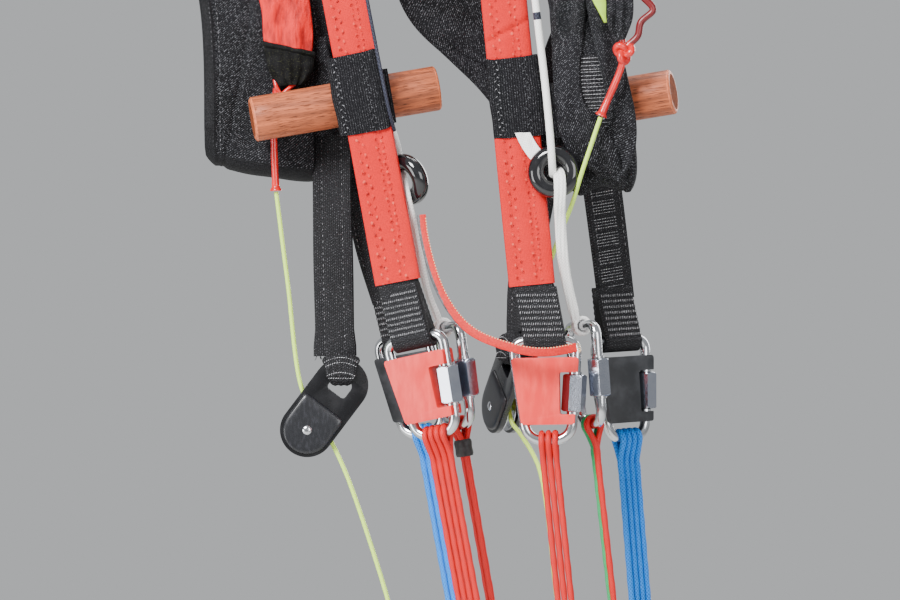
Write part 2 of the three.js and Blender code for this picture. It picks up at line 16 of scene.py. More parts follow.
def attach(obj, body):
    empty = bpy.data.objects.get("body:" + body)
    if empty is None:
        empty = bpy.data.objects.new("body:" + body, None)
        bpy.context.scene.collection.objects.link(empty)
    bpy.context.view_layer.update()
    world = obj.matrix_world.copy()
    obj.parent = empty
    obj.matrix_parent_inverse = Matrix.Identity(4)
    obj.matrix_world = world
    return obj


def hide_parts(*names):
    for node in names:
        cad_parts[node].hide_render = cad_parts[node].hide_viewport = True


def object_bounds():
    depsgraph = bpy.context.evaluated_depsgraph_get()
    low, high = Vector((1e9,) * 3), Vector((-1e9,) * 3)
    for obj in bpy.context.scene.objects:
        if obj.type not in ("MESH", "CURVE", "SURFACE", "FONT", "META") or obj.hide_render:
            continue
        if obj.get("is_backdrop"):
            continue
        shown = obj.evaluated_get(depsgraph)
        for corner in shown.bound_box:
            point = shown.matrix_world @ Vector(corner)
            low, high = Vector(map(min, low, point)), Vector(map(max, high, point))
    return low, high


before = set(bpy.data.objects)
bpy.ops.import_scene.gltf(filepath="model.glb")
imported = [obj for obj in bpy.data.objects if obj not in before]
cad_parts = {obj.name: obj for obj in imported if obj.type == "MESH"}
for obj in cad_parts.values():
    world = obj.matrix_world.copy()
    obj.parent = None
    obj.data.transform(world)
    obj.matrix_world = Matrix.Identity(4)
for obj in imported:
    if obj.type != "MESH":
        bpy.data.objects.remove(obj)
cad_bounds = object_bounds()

bl_info = {
    "name": "Paraglider risers",
    "version": (1, 0, 0),
    "blender": (4, 5, 0),
    "location": "3D View > Sidebar > Risers",
    "description": "Builds the webbing, hardware, cords and handles of a pair of paraglider risers",
    "category": "Object",
}

MM = 0.001
TURN = 2 * math.pi

# The eye of the left main loop, the frame's origin
EYE = (-104.5, 12, 456)

# Sizes in millimetres
FRONT_STRAP = {"width": 18.6, "thickness": 4}
REAR_STRAP = {"width": 17.5, "thickness": 3}
BRAKE_STRAP = {"width": 16, "thickness": 2}
WEBBING_END = {"width": 17, "height": 22, "wall": 2.3, "bore": 2.35}
MAIN_LOOP = {"width": 20, "wall": 3, "radius": 8, "drop": 24, "tail": 62, "thickness": 6.6}
KEEPER = {"width": 21.6, "wall": 1.4, "height": 32}
LINK = {"wire": 2.1, "top": 12.5, "left": -8.8, "right": 10.4, "shoulder": -33, "drop": 40, "corner": 4.4}
NUT = {"flats": 8.4, "length": 15, "z": -21, "gate": 4}
INSERT = {"thickness": 9, "top": -6.6, "bottom": -33.4, "notch": 5.6}
RING = {"radius": 7.3, "section": 3.3}
TOGGLE = {"radius": 9, "length": 75, "chamfer": 1}
BLOCK = {"radius": 11, "span": 22.6, "thickness": 9, "eye": 4.3, "slot": 4.8, "slot_top": -9}
SHEAVE = {"rim": 10, "root": 5.4, "bore": 2.3, "width": 4.2}
LINE = 1.25
LINE_PITCH = 2.7
LINE_END = -130

# Sewing, in millimetres: pitch, length of a stitch and thickness of the thread
STITCHES = {
    "folded end": (0.86, 1.25, 0.34),
    "rear seam": (2.6, 1.7, 0.34),
    "sling": (0.9, 0.75, 0.3),
    "brake seam": (2.4, 1.1, 0.36),
    "main loop": (2.2, 1.6, 0.4),
    "keeper": (1.5, 1.2, 0.5),
    "left handle": (1.9, 1.05, 0.34),
    "right handle": (1.9, 1.2, 0.36),
    "cross row": (1.1, 1.3, 0.3),
    "ribbon": (1.2, 0.66, 0.44),
}

# Seams of the front covers, from the middle of the strap, what a stitch swings there, and its length
COVER_SEAMS = (-4.1, 3.5)
COVER_SWING = 1.1
COVER_STITCH = 1.5

# Where the right cover's overlap ends, from the strap's upper end, and how much it slants
COVER_FOLD = 321.5
COVER_SLANT = 0.42

# Pitch of the close rows on the folded ends and the lean of their stitches, and pitch of ribbed webbing
END_ROW_PITCH = 2.3
END_SLANT = {"left": 0.95, "right": 1.3}
RIB_PITCH = 1.45


def link_row(at, lean, yaw, nut_turn, lines, line_lean, slip=0):
    """A quick link. slip is what the upper edge of its folded webbing has slid across."""
    return dict(at=at, lean=lean, yaw=yaw, nut_turn=nut_turn, lines=lines, line_lean=line_lean, slip=slip)


# A hanging piece has its place, lean (positive where its lower end goes right) and yaw (about its length).
# A station of a strap has across, away, up, yaw and, where it isn't the full width, its width.
# A pocket has its width and its shift to the right, and the toggle's ends what each is longer by.
LEFT = dict(
    eye=(EYE, 10.6, -10),
    front_strap=[(-99.2, 6.3, 428, -10), (-20.8, 0, 7.2, -10)],
    rear_strap=[
        (-99.2, 17.3, 428, -10), (-48.6, 36.4, 120, -10), (-44.4, 37.5, 88, -10), (-39.4, 39, 66, -10),
        (-29.9, 42, 20, -20), (-23.6, 43.6, 0, -27),
    ],
    brake_strap=[
        (-47.8, 34.2, 84, -10), (-47.8, 33, 64, -10), (-47.6, 31.4, 40, -4), (-46.4, 30, -22.6, 0),
    ],
    block=((-44, 30, -34.4), -37.1, 0),
    keeper=((-36.4, 1.4, 82.8), 10.6, -12),
    toggle={"at": (-40.6, 16.4, 79.2), "rise": 9.8, "yaw": 6},
    handle=[
        (-91, 32, 176, 0), (-78.8, 30, 120, 0), (-77, 30, 66, 0), (-77, 33, 55, 0), (-77, 38, 51.5, 0),
        (-77, 43, 55, 0), (-77, 46, 66, 0), (-78.8, 46, 120, 0), (-91, 42, 176, 0),
    ],
    handle_width=44.6,
    handle_flap=[(-55, 29.6, 106, 0, 10), (-53, 29.6, 84, 0, 14), (-52.4, 29.6, 66.4, 0, 13)],
    neck=[
        (-85, 24.4, 170, 0, 20), (-67, 24.4, 122, 0, 20), (-65.5, 24.4, 100, 0, 19),
        (-67.5, 24.4, 88, 0, 9),
    ],
    strings=[
        [(-70.6, 23.4, 88.6), (-70.0, 22.6, 86), (-68.6, 22.6, 83.4)],
        [(-62.8, 23.6, 87.2), (-65, 22.6, 85.2), (-67.4, 22.6, 83.2)],
    ],
    sheath=[(-70, 24.2, 85.4), (-71, 24.2, 66), (-70.2, 24.3, 44)],
    brake_route=[
        (-70.1, 24.4, 43.6), (-65.6, 26.6, 8), (-59.4, 30, -37.2), (-53.2, 30, -46.9), (-47.5, 30, -58),
        (-41.2, 30, -72), (-26, 30, -118), (-23, 30, LINE_END),
    ],
    ring=((-17.1, 6.2, 48.4), 24, -50),
    toggle_ends=(-2.2, -0.9),
    pocket=(22, 0.8),
    speed_route=[
        (-83.2, 12.2, 414), (-81.6, 6, 402), (-81.4, -1, 388), (-30.4, -6.4, 105.6), (-24.6, -6, 77),
        (-22.6, -1, 69), (-21, 7, 62.5), (-20, 11.6, 57), (-19, 9, 51.6), (-18.4, 6.2, 48),
    ],
    tether_width=3.6,
    tether_route=[
        (-18.8, 8.2, 50.4), (-18, 4.4, 46), (-17.2, 2.4, 42), (-16.2, 2.8, 38), (-15.1, 4.4, 33),
        (-12, 8, 17), (-8.6, 12, 2), (-4, 15.4, -9),
    ],
    tab=[(-31.6, 4.6, 64, -30), (-28, 7.4, 57, -40), (-26.2, 10, 52, -48)],
    links={
        "front": link_row((-14.4, 0, -15.2), 12.5, -27, 26, 4, 10.4, -1.6),
        "rear": link_row((-18.4, 44, -15.2), 10.5, -27, 0, 3, 10.3, -2.4),
        "third": link_row((-2.8, 17, -11.2), 9.3, -59, 11, 2, 9.9),
    },
)
RIGHT = dict(
    eye=((-11.5, 12, 456), 5.6, -4),
    front_strap=[(-8.8, 6.3, 428, -4), (32.8, 0, 6, -4)],
    rear_strap=[(-8.8, 17.3, 428, -4), (61.4, 40, 48, 30), (67.4, 43.9, 0, 35)],
    brake_strap=[
        (50.6, 30.4, 112, 24), (43.8, 30.3, 92, -12), (37.5, 36.2, 60, -14), (34.6, 33.6, 40, -24),
        (31.4, 30.6, 20, -37), (28.6, 27.8, 2, -50), (27.2, 24.2, -13.6, -66),
    ],
    block=((27.1, 24, -26.1), -42, -68),
    keeper=((26.6, 1.4, 81.2), 5.6, -4),
    toggle={"at": (52.2, 10.7, 77.4), "rise": 9, "yaw": -12},
    handle_width=21,
    handle=[
        (5, 24, 180, 10, 22), (-9, 28, 150, 0, 30), (-4.6, 33.4, 124, -4, 32), (8, 34.5, 106, -8, 25),
        (20, 34, 93, -12, 23), (40, 28.6, 67, -20, 21), (56, 20, 52, -35, 21), (63, 8, 48, -35, 21),
        (65.4, -2, 56, -30, 20), (61, -4, 76, -10, 19), (55, -3, 100, 0, 20), (50, 1, 120, 0, 21),
        (44, 9, 150, 10, 21), (27, 16.6, 180, 10, 21),
    ],
    handle_folds=[
        [
            (44.5, 4, 150, -10, 15), (46.8, -2.4, 124, -16, 16), (46.8, -5, 104, -20, 13.4),
            (46.6, -6, 88, -20, 11.4), (48, -6.6, 76, -18, 13.6), (53.4, -7, 66, -15, 18.6),
            (61.6, -6, 54.5, -25, 15.6), (64, -2, 50, -30, 12),
        ],
        [
            (58, -4.4, 128, 0, 11), (62.4, -7.6, 104, 0, 10.4), (66.4, -9, 86, 0, 10),
            (68.6, -9, 71, -5, 11.6), (67.2, -8, 59, -20, 13.4), (63.6, -4.4, 51, -30, 12),
        ],
    ],
    handle_ribs=[(55.4, -6, 98, 0), (57, -6.4, 69, 0)],
    neck=[
        (46, -6, 168, 0, 10), (62, -15, 140, 0, 10), (67.4, -16.4, 120, 0, 11), (67.4, -16.4, 110, 0, 9.8),
        (68.2, -16.4, 103.4, 0, 3),
    ],
    sheath=[
        (76.4, -16.2, 121), (80.8, -16.2, 115.6), (76, -16.2, 110.6), (74.6, -16.2, 105),
        (69.4, -16.2, 99.6), (68.2, -16.2, 93), (60, -16.4, 73.2),
    ],
    knot=(69.2, -16.2, 98.6),
    tip=[(54.6, -4.8, 160, 10, 10), (60.4, -11, 124, 10, 10.6), (62.2, -13, 110.6, 10, 1.6)],
    brake_route=[
        (59.9, -16.4, 72.8), (56.6, -15, 63), (52.8, -11.4, 51.6), (49, -3, 39), (44.4, 10, 27),
        (39, 26, 12), (31, 34, -4), (25.4, 38.6, -15), (21.2, 38.5, -27.6), (23.2, 33.5, -37.8),
        (25, 29.2, -49.3), (28.4, 27.6, -54), (36, 27, -68), (42.8, 27, -118), (44.6, 27, LINE_END),
    ],
    ring=((41.6, -6.6, 51.2), 0, -6),
    toggle_ends=(2.8, 1.2),
    pocket=(26, 5.2),
    speed_route=[
        (4.4, 12.2, 414), (5.4, 6, 402), (6, -1, 388), (34, -6.4, 120), (38.2, -7.4, 84),
        (40.2, -11.2, 62), (40.6, -11.2, 56), (40.9, -8.4, 51.6), (41, -5.6, 50),
    ],
    tether_width=4.9,
    tether_route=[
        (42.8, -5.6, 51.4), (43.6, -10.2, 49.6), (43.9, -10.9, 44), (43.8, -9, 38.6), (44, -5, 33),
        (45.6, 4, 14), (50.6, 13.2, -8.6),
    ],
    tab=[(27.4, -2.7, 71, -4), (29.4, -2.9, 66, -4), (31.8, -4, 61.4, -4), (35, -6, 57, -4)],
    links={
        "front": link_row((38, 0, -16.4), 1, -4, -21, 3, 6, -3.6),
        "rear": link_row((68.8, 44, -16.4), 3.5, 35, -23, 4, 4.6, -2.6),
        "third": link_row((52.8, 14.6, -10.4), 6, -65, 4, 2, 6.4),
    },
)
SETS = {"left": LEFT, "right": RIGHT}
RIBBON_ROUTE = [
    (-11.4, 0.8, 34), (-11, -1.2, 29), (-10.1, -3.1, 23.9), (-9, -4.8, 18.9), (-7.6, -6.3, 13.8),
    (-6, -7.7, 8.8), (-4, -9, 3.9), (-1.5, -10.2, -0.8), (1.4, -11.2, -5.2), (4.9, -12.2, -9.3),
    (9, -13.2, -12.7), (13.7, -14.4, -15.2), (18.6, -15.5, -17.1), (23.8, -16.5, -18.7), (29, -17, -20),
    (34.4, -17.2, -20.7), (39.8, -16.8, -20.7), (45.1, -15.7, -19.9), (50.3, -14.5, -18.8),
]
RIBBON = {"width": 3.6, "thickness": 0.8}

# The highest that a ring tab reaches
TAB_TOP = 66.9


# Sizes and colours that a user would change


class RisersFabric(bpy.types.PropertyGroup):
    red: FloatVectorProperty(
        name="Red cover", description="Colour of the strap covers",
        default=(0.6, 0.006, 0.005), subtype="COLOR", size=3,
    )
    black: FloatVectorProperty(
        name="Black webbing", description="Colour of the webbing",
        default=(0.009, 0.009, 0.0115), subtype="COLOR", size=3,
    )
    thread: FloatProperty(
        name="Thread", description="Thickness of the sewing thread",
        default=0.00042, min=0.0001, subtype="DISTANCE",
    )
    pitch: FloatProperty(
        name="Stitch", description="Length of a zigzag on the covers",
        default=0.0042, min=0.0008, subtype="DISTANCE",
    )


class RisersHardware(bpy.types.PropertyGroup):
    wood: FloatVectorProperty(
        name="Toggle wood", description="Colour of the oiled wood",
        default=(0.37, 0.092, 0.034), subtype="COLOR", size=3,
    )
    polish: FloatProperty(
        name="Steel roughness", description="Roughness of the polished steel",
        default=0.13, min=0, max=1, subtype="FACTOR",
    )
    sides: IntProperty(
        name="Wire sides", description="Faces round the wire of a link",
        default=20, min=8, max=48,
    )


class RisersStage(bpy.types.PropertyGroup):
    distance: FloatProperty(
        name="Camera distance", description="From the camera to the front straps",
        default=3.0, min=0.5, subtype="DISTANCE",
    )
    width: FloatProperty(
        name="View width", description="Width of what the view takes in",
        default=0.36, min=0.05, subtype="DISTANCE",
    )
    light: FloatProperty(name="Light", description="Strength of all the lights", default=1.0, min=0)
    floor: FloatVectorProperty(
        name="Floor", description="Colour of the floor",
        default=(0.62, 0.62, 0.6), subtype="COLOR", size=3,
    )


# Places, turns and routes


def place(points):
    """Points of the tables, in the frame and in metres."""
    return (np.asarray(points, float) - EYE) * MM


def turned(axis, degrees):
    return Matrix.Rotation(math.radians(degrees), 4, axis)


def hanging(at, lean, yaw):
    """A piece that hangs at a point: turned about its own length, then leaned in the view's plane."""
    return Matrix.Translation(at) @ turned("Y", -lean) @ turned("Z", yaw)


def turned_plane(at, lean, yaw):
    """A flat block that leans in its own plane, and that plane is then turned."""
    return Matrix.Translation(at) @ turned("Z", yaw) @ turned("Y", -lean)


def link_place(link):
    return hanging(link["at"], link["lean"], link["yaw"])


def toggle_place(toggle):
    return turned_plane(toggle["at"], toggle["rise"], toggle["yaw"])


def moved(matrix, points):
    """The points after a turn and a move."""
    points = np.asarray(points, float)
    turn = np.array(matrix.to_3x3())
    return points @ turn.T + np.array(matrix.translation)


def smooth_route(stations, step):
    """Stations about step apart on a curve through the given ones. Further columns are carried along."""
    rows = np.asarray(stations, float)
    rows = np.vstack([2 * rows[0] - rows[1], rows, 2 * rows[-1] - rows[-2]])
    knots = np.append(0, np.cumsum(np.sqrt(np.linalg.norm(np.diff(rows[:, :3], axis=0), axis=1))))
    found = []
    for i in range(1, len(rows) - 2):
        t0, t1, t2, t3 = knots[i - 1 : i + 3]
        p0, p1, p2, p3 = rows[i - 1 : i + 3]
        for t in np.linspace(t1, t2, 16, endpoint=False):
            a1 = p0 + (p1 - p0) * (t - t0) / (t1 - t0)
            a2 = p1 + (p2 - p1) * (t - t1) / (t2 - t1)
            a3 = p2 + (p3 - p2) * (t - t2) / (t3 - t2)
            b1 = a1 + (a2 - a1) * (t - t0) / (t2 - t0)
            b2 = a2 + (a3 - a2) * (t - t1) / (t3 - t1)
            found.append(b1 + (b2 - b1) * (t - t1) / (t2 - t1))
    found.append(rows[-2])
    return even_route(np.array(found), step)


def even_route(rows, step):
    """Rows about step apart along the straight lines between the given ones."""
    rows = np.asarray(rows, float)
    run = run_of(rows)
    wanted = np.linspace(0, run[-1], max(2, round(run[-1] / step) + 1))
    return columns(*(np.interp(wanted, run, column) for column in rows.T))


def columns(*values):
    """Columns side by side. A single number fills a whole one."""
    return np.column_stack(np.broadcast_arrays(*values))


def flattened(x, power):
    """A wave from -1 to 1 whose crests are broad for a small power."""
    return np.sign(x) * np.abs(x) ** power


def ridge(x, width):
    """1 where x is 0, falling off to both sides over width."""
    return np.exp(-((x / width) ** 2))


def ramp(x, width):
    """0 up to where x is 0, and 1 from width on."""
    return np.clip(x / width, 0, 1)


def run_of(points):
    """The length along a route at each of its points."""
    points = np.asarray(points)[:, :3]
    return np.append(0, np.cumsum(np.linalg.norm(np.diff(points, axis=0), axis=1)))


def run_on(points, gap):
    """The length along a route, and one value more after a gap."""
    run = run_of(points)
    return np.append(run, run[-1] + gap)


def unit(vectors):
    return vectors / np.maximum(np.linalg.norm(vectors, axis=-1, keepdims=True), 1e-9)


def tangents(points):
    return unit(np.gradient(points, axis=0))


def strap_axes(points, yaws, across=None):
    """The directions across and out of the front of a strap at each point."""
    along = tangents(points)
    turn = np.radians(np.broadcast_to(yaws, len(points)))
    if across is None:
        face = columns(np.sin(turn), -np.cos(turn), 0)
        wide = np.cross(face, along)
    else:
        wide = columns(np.cos(turn), np.sin(turn), 0)
    wide = unit(wide - along * np.sum(wide * along, axis=1, keepdims=True))
    return wide, np.cross(along, wide)


def cord_axes(points):
    """Two directions square to a cord at each point, carried along it without a twist."""
    along = tangents(points)
    side = np.cross(along[0], (0, 1, 0) if abs(along[0][1]) < 0.9 else (1, 0, 0))
    sides = []
    for direction in along:
        side = side - direction * np.dot(side, direction)
        side = side / np.linalg.norm(side)
        sides.append(side)
    sides = np.array(sides)
    return sides, np.cross(along, sides)


# Shapes


class Shell:
    """The faces of one piece, with the UV of each corner in millimetres and the finish of each face."""

    def __init__(self):
        self.points, self.faces, self.uvs, self.finishes = [], [], [], []

    def add(self, points, faces, uvs, finish=0):
        first = len(self.points)
        self.points.extend(map(tuple, points))
        self.faces.extend(tuple(first + i for i in face) for face in faces)
        self.uvs.extend(uvs)
        self.finishes.extend([finish] * len(faces))

    def moulded(self, change, first=0):
        """Moves the points from first on."""
        self.points[first:] = map(tuple, change(np.array(self.points[first:])))

    def grid(self, rows, across, along, closed=False, finish=0):
        """A tube through rings of points. across has one value more than a ring has points."""
        rows = np.asarray(rows, float)
        count, size, _ = rows.shape
        faces, uvs = [], []
        for i in range(count if closed else count - 1):
            for j in range(size):
                k, n = (j + 1) % size, (i + 1) % count
                faces.append((i * size + j, i * size + k, n * size + k, n * size + j))
                low, high = along[i], along[i + 1]
                uvs.append(((across[j], low), (across[j + 1], low), (across[j + 1], high), (across[j], high)))
        if not closed:
            for i, order in ((0, range(size - 1, -1, -1)), (count - 1, range(size))):
                faces.append(tuple(i * size + j for j in order))
                uvs.append(tuple((across[j], along[i]) for j in order))
        self.add(rows.reshape(-1, 3), faces, uvs, finish)

    def band(self, rows, wide, out, own, half, relief=None, samples=18, roundness=5, closed=False):
        """A strap with rounded edges, half its thickness and the relief of its faces at (across, along)."""
        spread = np.sin(np.linspace(-0.5, 0.5, samples + 1) * math.pi) * 0.5
        spread = 0.5 * spread + 0.5 * np.linspace(-0.5, 0.5, samples + 1)
        share = (1 - np.abs(2 * spread) ** roundness) ** (1 / roundness)
        rows, run = rows[:, :3], run_of(rows)
        own, half = (np.broadcast_to(size, len(rows)) for size in (own, half))
        x = spread[None, :] * own[:, None]
        lift = share[None, :] * half[:, None]
        if relief is not None:
            lift = lift + relief(x, run[:, None]) * share[None, :]
        faces = np.concatenate([x, x[:, -2:0:-1]], axis=1)
        heights = np.concatenate([lift, -lift[:, -2:0:-1]], axis=1)
        points = rows[:, None, :] + wide[:, None, :] * faces[..., None] + out[:, None, :] * heights[..., None]
        across = np.concatenate([spread, spread[-2::-1]]) * own.mean()
        self.grid(points, across, run_on(rows, 1), closed=closed)

    def tube(self, points, radius, sides=12, closed=False, finish=0, rounded=True):
        """A round cord or wire. radius is one number or one for each point."""
        points = np.asarray(points, float)
        radius = np.broadcast_to(radius, len(points))
        if rounded and not closed:
            points, radius = rounded_ends(points, radius)
        first, second = cord_axes(points)
        angle = round_angles(sides)
        angle = angle[None, :, None]
        ring = first[:, None, :] * np.cos(angle) + second[:, None, :] * np.sin(angle)
        rows = points[:, None, :] + ring * radius[:, None, None]
        across = np.linspace(0, TURN * float(radius.max()), sides + 1)
        self.grid(rows, across, run_on(points, 1), closed=closed, finish=finish)

    def turned(self, profile, matrix, sides):
        """A shape turned about Y from (radius, height) pairs, closed where its profile is."""
        profile = np.asarray(profile, float)
        angle = round_angles(sides)
        radius, height = profile[:, :1], np.broadcast_to(profile[:, 1:], (len(profile), sides))
        rows = np.stack([radius * np.cos(angle), height, radius * np.sin(angle)], axis=-1)
        across = np.linspace(0, TURN * profile[:, 0].max(), sides + 1)
        self.grid(moved(matrix, rows), across, run_of(profile))

    def slab(self, outline, depth, matrix, holes=(), across=(1, 0, 0)):
        """An outline drawn in the upright plane through across, thick square to it."""
        across, up = np.array(across, float), np.array([0.0, 0.0, 1.0])
        out = np.cross(across, up)
        loops = [np.asarray(outline, float), *(np.asarray(hole, float) for hole in holes)]
        flat = np.concatenate(loops)
        fill = tessellate_polygon([[Vector((x, y, 0)) for x, y in loop] for loop in loops])
        base = flat[:, :1] * across + flat[:, 1:] * up
        points = np.concatenate([base - out * depth / 2, base + out * depth / 2])
        count = len(flat)
        faces, uvs = [], []
        for triangle in fill:
            faces.append(tuple(triangle))
            faces.append(tuple(count + i for i in reversed(triangle)))
            uvs.append(tuple(tuple(flat[i]) for i in triangle))
            uvs.append(tuple(tuple(flat[i]) for i in reversed(triangle)))
        first = 0
        for loop in loops:
            run = run_on(loop, np.linalg.norm(loop[0] - loop[-1]))
            for i in range(len(loop)):
                j = (i + 1) % len(loop)
                faces.append((first + i, first + j, count + first + j, count + first + i))
                uvs.append(((0, run[i]), (0, run[i + 1]), (depth, run[i + 1]), (depth, run[i])))
            first += len(loop)
        self.add(moved(matrix, points), faces, uvs)


def rounded_ends(points, radius):
    """Four more points at each end, on which the cord closes like a dome."""
    along = tangents(points)
    turns = np.radians([84, 60, 35, 12])
    start = points[0] - along[0] * (np.sin(turns) * radius[0] * 0.7)[:, None]
    end = points[-1] + along[-1] * (np.sin(turns[::-1]) * radius[-1] * 0.7)[:, None]
    points = np.concatenate([start, points, end])
    return points, np.concatenate([radius[0] * np.cos(turns), radius, radius[-1] * np.cos(turns[::-1])])


def bend(start, corner, end, steps=14):
    """Points of a curve that leaves start towards a corner and comes from there to end."""
    start, corner, end = np.array([start, corner, end], float)
    t = np.linspace(0, 1, steps)[:, None]
    return (1 - t) ** 2 * start + 2 * t * (1 - t) * corner + t**2 * end


def arc(centre, radius, start, end, steps):
    """Points of an arc in a plane, from one angle to another in degrees."""
    turn = np.radians(np.linspace(start, end, steps))
    return columns(centre[0] + radius * np.cos(turn), centre[1] + radius * np.sin(turn))


def round_angles(count):
    """Even steps round a circle, in radians."""
    return np.linspace(0, TURN, count + 1)[:-1]


def facing(matrix, away=-1):
    """The way that a turned piece's front (-1) or back (1) looks."""
    return tuple(matrix.to_3x3() @ Vector((0, away, 0)))


def dense(outline, step):
    """An outline with points no further apart than step."""
    outline = np.asarray(outline, float)
    found = []
    for a, b in zip(outline, np.roll(outline, -1, axis=0)):
        parts = max(1, math.ceil(np.linalg.norm(b - a) / step))
        found.extend(a + (b - a) * i / parts for i in range(parts))
    return np.array(found)


# Pieces from shapes


def added(name, data):
    """A new object in the scene."""
    made = bpy.data.objects.new(name, data)
    bpy.context.scene.collection.objects.link(made)
    return made


def finished(name, shell, finishes, nodes=(), body="root", bevel=None, crease=35):
    """The Blender piece of a shell: merged, facing outwards, smooth between its creases."""
    mesh = bpy.data.meshes.new(name)
    mesh.from_pydata(place(shell.points).tolist(), [], shell.faces)
    layer = mesh.uv_layers.new(name="millimetres")
    layer.data.foreach_set("uv", np.array([c for face in shell.uvs for c in face], np.float32).ravel())
    mesh.polygons.foreach_set("material_index", np.array(shell.finishes, np.int32))
    for material in finishes:
        mesh.materials.append(material)
    edit = bmesh.new()
    edit.from_mesh(mesh)
    bmesh.ops.remove_doubles(edit, verts=edit.verts, dist=1e-6)
    bmesh.ops.recalc_face_normals(edit, faces=edit.faces)
    edit.to_mesh(mesh)
    edit.free()
    piece = added(name, mesh)
    if bevel:
        modifier = piece.modifiers.new("Rounded edges", "BEVEL")
        modifier.width = bevel * MM
        modifier.segments = 3
        modifier.angle_limit = math.radians(crease)
        baked(piece)
    piece.data.shade_smooth()
    piece.data.set_sharp_from_angle(angle=math.radians(crease))
    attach(piece, body)
    if nodes:
        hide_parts(*nodes)
    return piece


def baked(piece):
    """Turns the result of a piece's modifiers into its mesh."""
    plain = bpy.data.meshes.new_from_object(piece.evaluated_get(bpy.context.evaluated_depsgraph_get()))
    piece.modifiers.clear()
    piece.data = plain
    return piece


def feed(tree, socket, value):
    """Links a socket to another one, or sets it."""
    if isinstance(value, bpy.types.NodeSocket):
        tree.links.new(value, socket)
    else:
        socket.default_value = value


def new_node(tree, kind, inputs=(), **settings):
    """A node of a tree, with its settings and the values of its inputs."""
    made = tree.nodes.new(kind)
    for key, value in settings.items():
        setattr(made, key, value)
    for label, value in inputs:
        feed(tree, made.inputs[label], value)
    return made


def stitch_tree():
    """Threads laid along guide lines, each stitch turned the other way. Made once."""
    name = "Stitches on guide lines"
    if name in bpy.data.node_groups:
        return bpy.data.node_groups[name]
    tree = bpy.data.node_groups.new(name, "GeometryNodeTree")
    tree.interface.new_socket("Guides", in_out="INPUT", socket_type="NodeSocketGeometry")
    for label in ("Pitch", "Length", "Thread", "Swing", "Turn", "Slant"):
        tree.interface.new_socket(label, in_out="INPUT", socket_type="NodeSocketFloat")
    tree.interface.new_socket("Thread finish", in_out="INPUT", socket_type="NodeSocketMaterial")
    tree.interface.new_socket("Stitches", in_out="OUTPUT", socket_type="NodeSocketGeometry")

    def node(kind, links=(), **settings):
        return new_node(tree, kind, links, **settings).outputs[0]

    def maths(operation, *values):
        return node("ShaderNodeMath", enumerate(values), operation=operation)

    group = tree.nodes.new("NodeGroupInput").outputs
    curve = node("GeometryNodeMeshToCurve", [(0, group["Guides"])])
    spaced = [(0, curve), ("Length", group["Pitch"])]
    evened = node("GeometryNodeResampleCurve", spaced, mode="LENGTH")
    tangent = node("GeometryNodeInputTangent")
    face = node("GeometryNodeInputNamedAttribute", [("Name", "face")], data_type="FLOAT_VECTOR")
    index = node("GeometryNodeInputIndex")
    sign = maths("MULTIPLY_ADD", maths("MODULO", index, 2.0), 2.0, -1.0)
    side = node("ShaderNodeVectorMath", [(0, tangent), (1, face)], operation="CROSS_PRODUCT")
    reach = maths("MULTIPLY", sign, group["Swing"])
    offset = node("ShaderNodeVectorMath", [(0, side), ("Scale", reach)], operation="SCALE")
    swung = node("GeometryNodeSetPosition", [(0, evened), ("Offset", offset)])
    upright = node("FunctionNodeAlignRotationToVector", [("Vector", face)], axis="Z")
    upright_along = [("Rotation", upright), ("Vector", tangent)]
    aimed = node("FunctionNodeAlignRotationToVector", upright_along, axis="X", pivot_axis="Z")
    angle = maths("MULTIPLY_ADD", sign, group["Turn"], group["Slant"])
    turn = node("FunctionNodeAxisAngleToRotation", [("Axis", (0.0, 0.0, 1.0)), ("Angle", angle)])
    both = [(0, aimed), (1, turn)]
    rotation = node("FunctionNodeRotateRotation", both, rotation_space="LOCAL")
    bead = node("GeometryNodeMeshUVSphere", [("Segments", 6), ("Rings", 4), ("Radius", 0.5)])
    shape = node("ShaderNodeCombineXYZ", [(0, group["Length"]), (1, group["Thread"]), (2, group["Thread"])])
    thread = node("GeometryNodeTransform", [(0, bead), ("Scale", shape)])
    laid = [("Points", swung), ("Instance", thread), ("Rotation", rotation)]
    copies = node("GeometryNodeInstanceOnPoints", laid)
    real = node("GeometryNodeRealizeInstances", [(0, copies)])
    coloured = node("GeometryNodeSetMaterial", [(0, real), ("Material", group["Thread finish"])])
    new_node(tree, "NodeGroupOutput", [(0, coloured)])
    return tree


def stitched(name, guides, material, kind, swing=0.0, turn=0.0, slant=0.0):
    """A piece of stitching. Each guide has its points and the directions out of the cloth there.

    kind is a row of STITCHES. swing moves the stitches to both sides in turn, turn leans them to both sides,
    and slant leans all of them.
    """
    points, edges, faces = [], [], []
    for line, out in guides:
        first = len(points)
        points.extend(place(line).tolist())
        faces.extend(np.broadcast_to(out, (len(line), 3)).tolist())
        edges.extend((first + i, first + i + 1) for i in range(len(line) - 1))
    mesh = bpy.data.meshes.new(name)
    mesh.from_pydata(points, edges, [])
    attribute = mesh.attributes.new("face", "FLOAT_VECTOR", "POINT")
    attribute.data.foreach_set("vector", np.array(faces, np.float32).ravel())
    piece = added(name, mesh)
    modifier = piece.modifiers.new("Stitches", "NODES")
    tree = stitch_tree()
    sockets = {item.name: item.identifier for item in tree.interface.items_tree if item.in_out == "INPUT"}
    modifier.node_group = tree
    for label, size in zip(("Pitch", "Length", "Thread", "Swing"), (*kind, swing)):
        modifier[sockets[label]] = size * MM
    modifier[sockets["Turn"]], modifier[sockets["Slant"]] = turn, slant
    modifier[sockets["Thread finish"]] = material
    baked(piece)
    piece.data.shade_smooth()
    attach(piece, "root")
    return piece


# Finishes


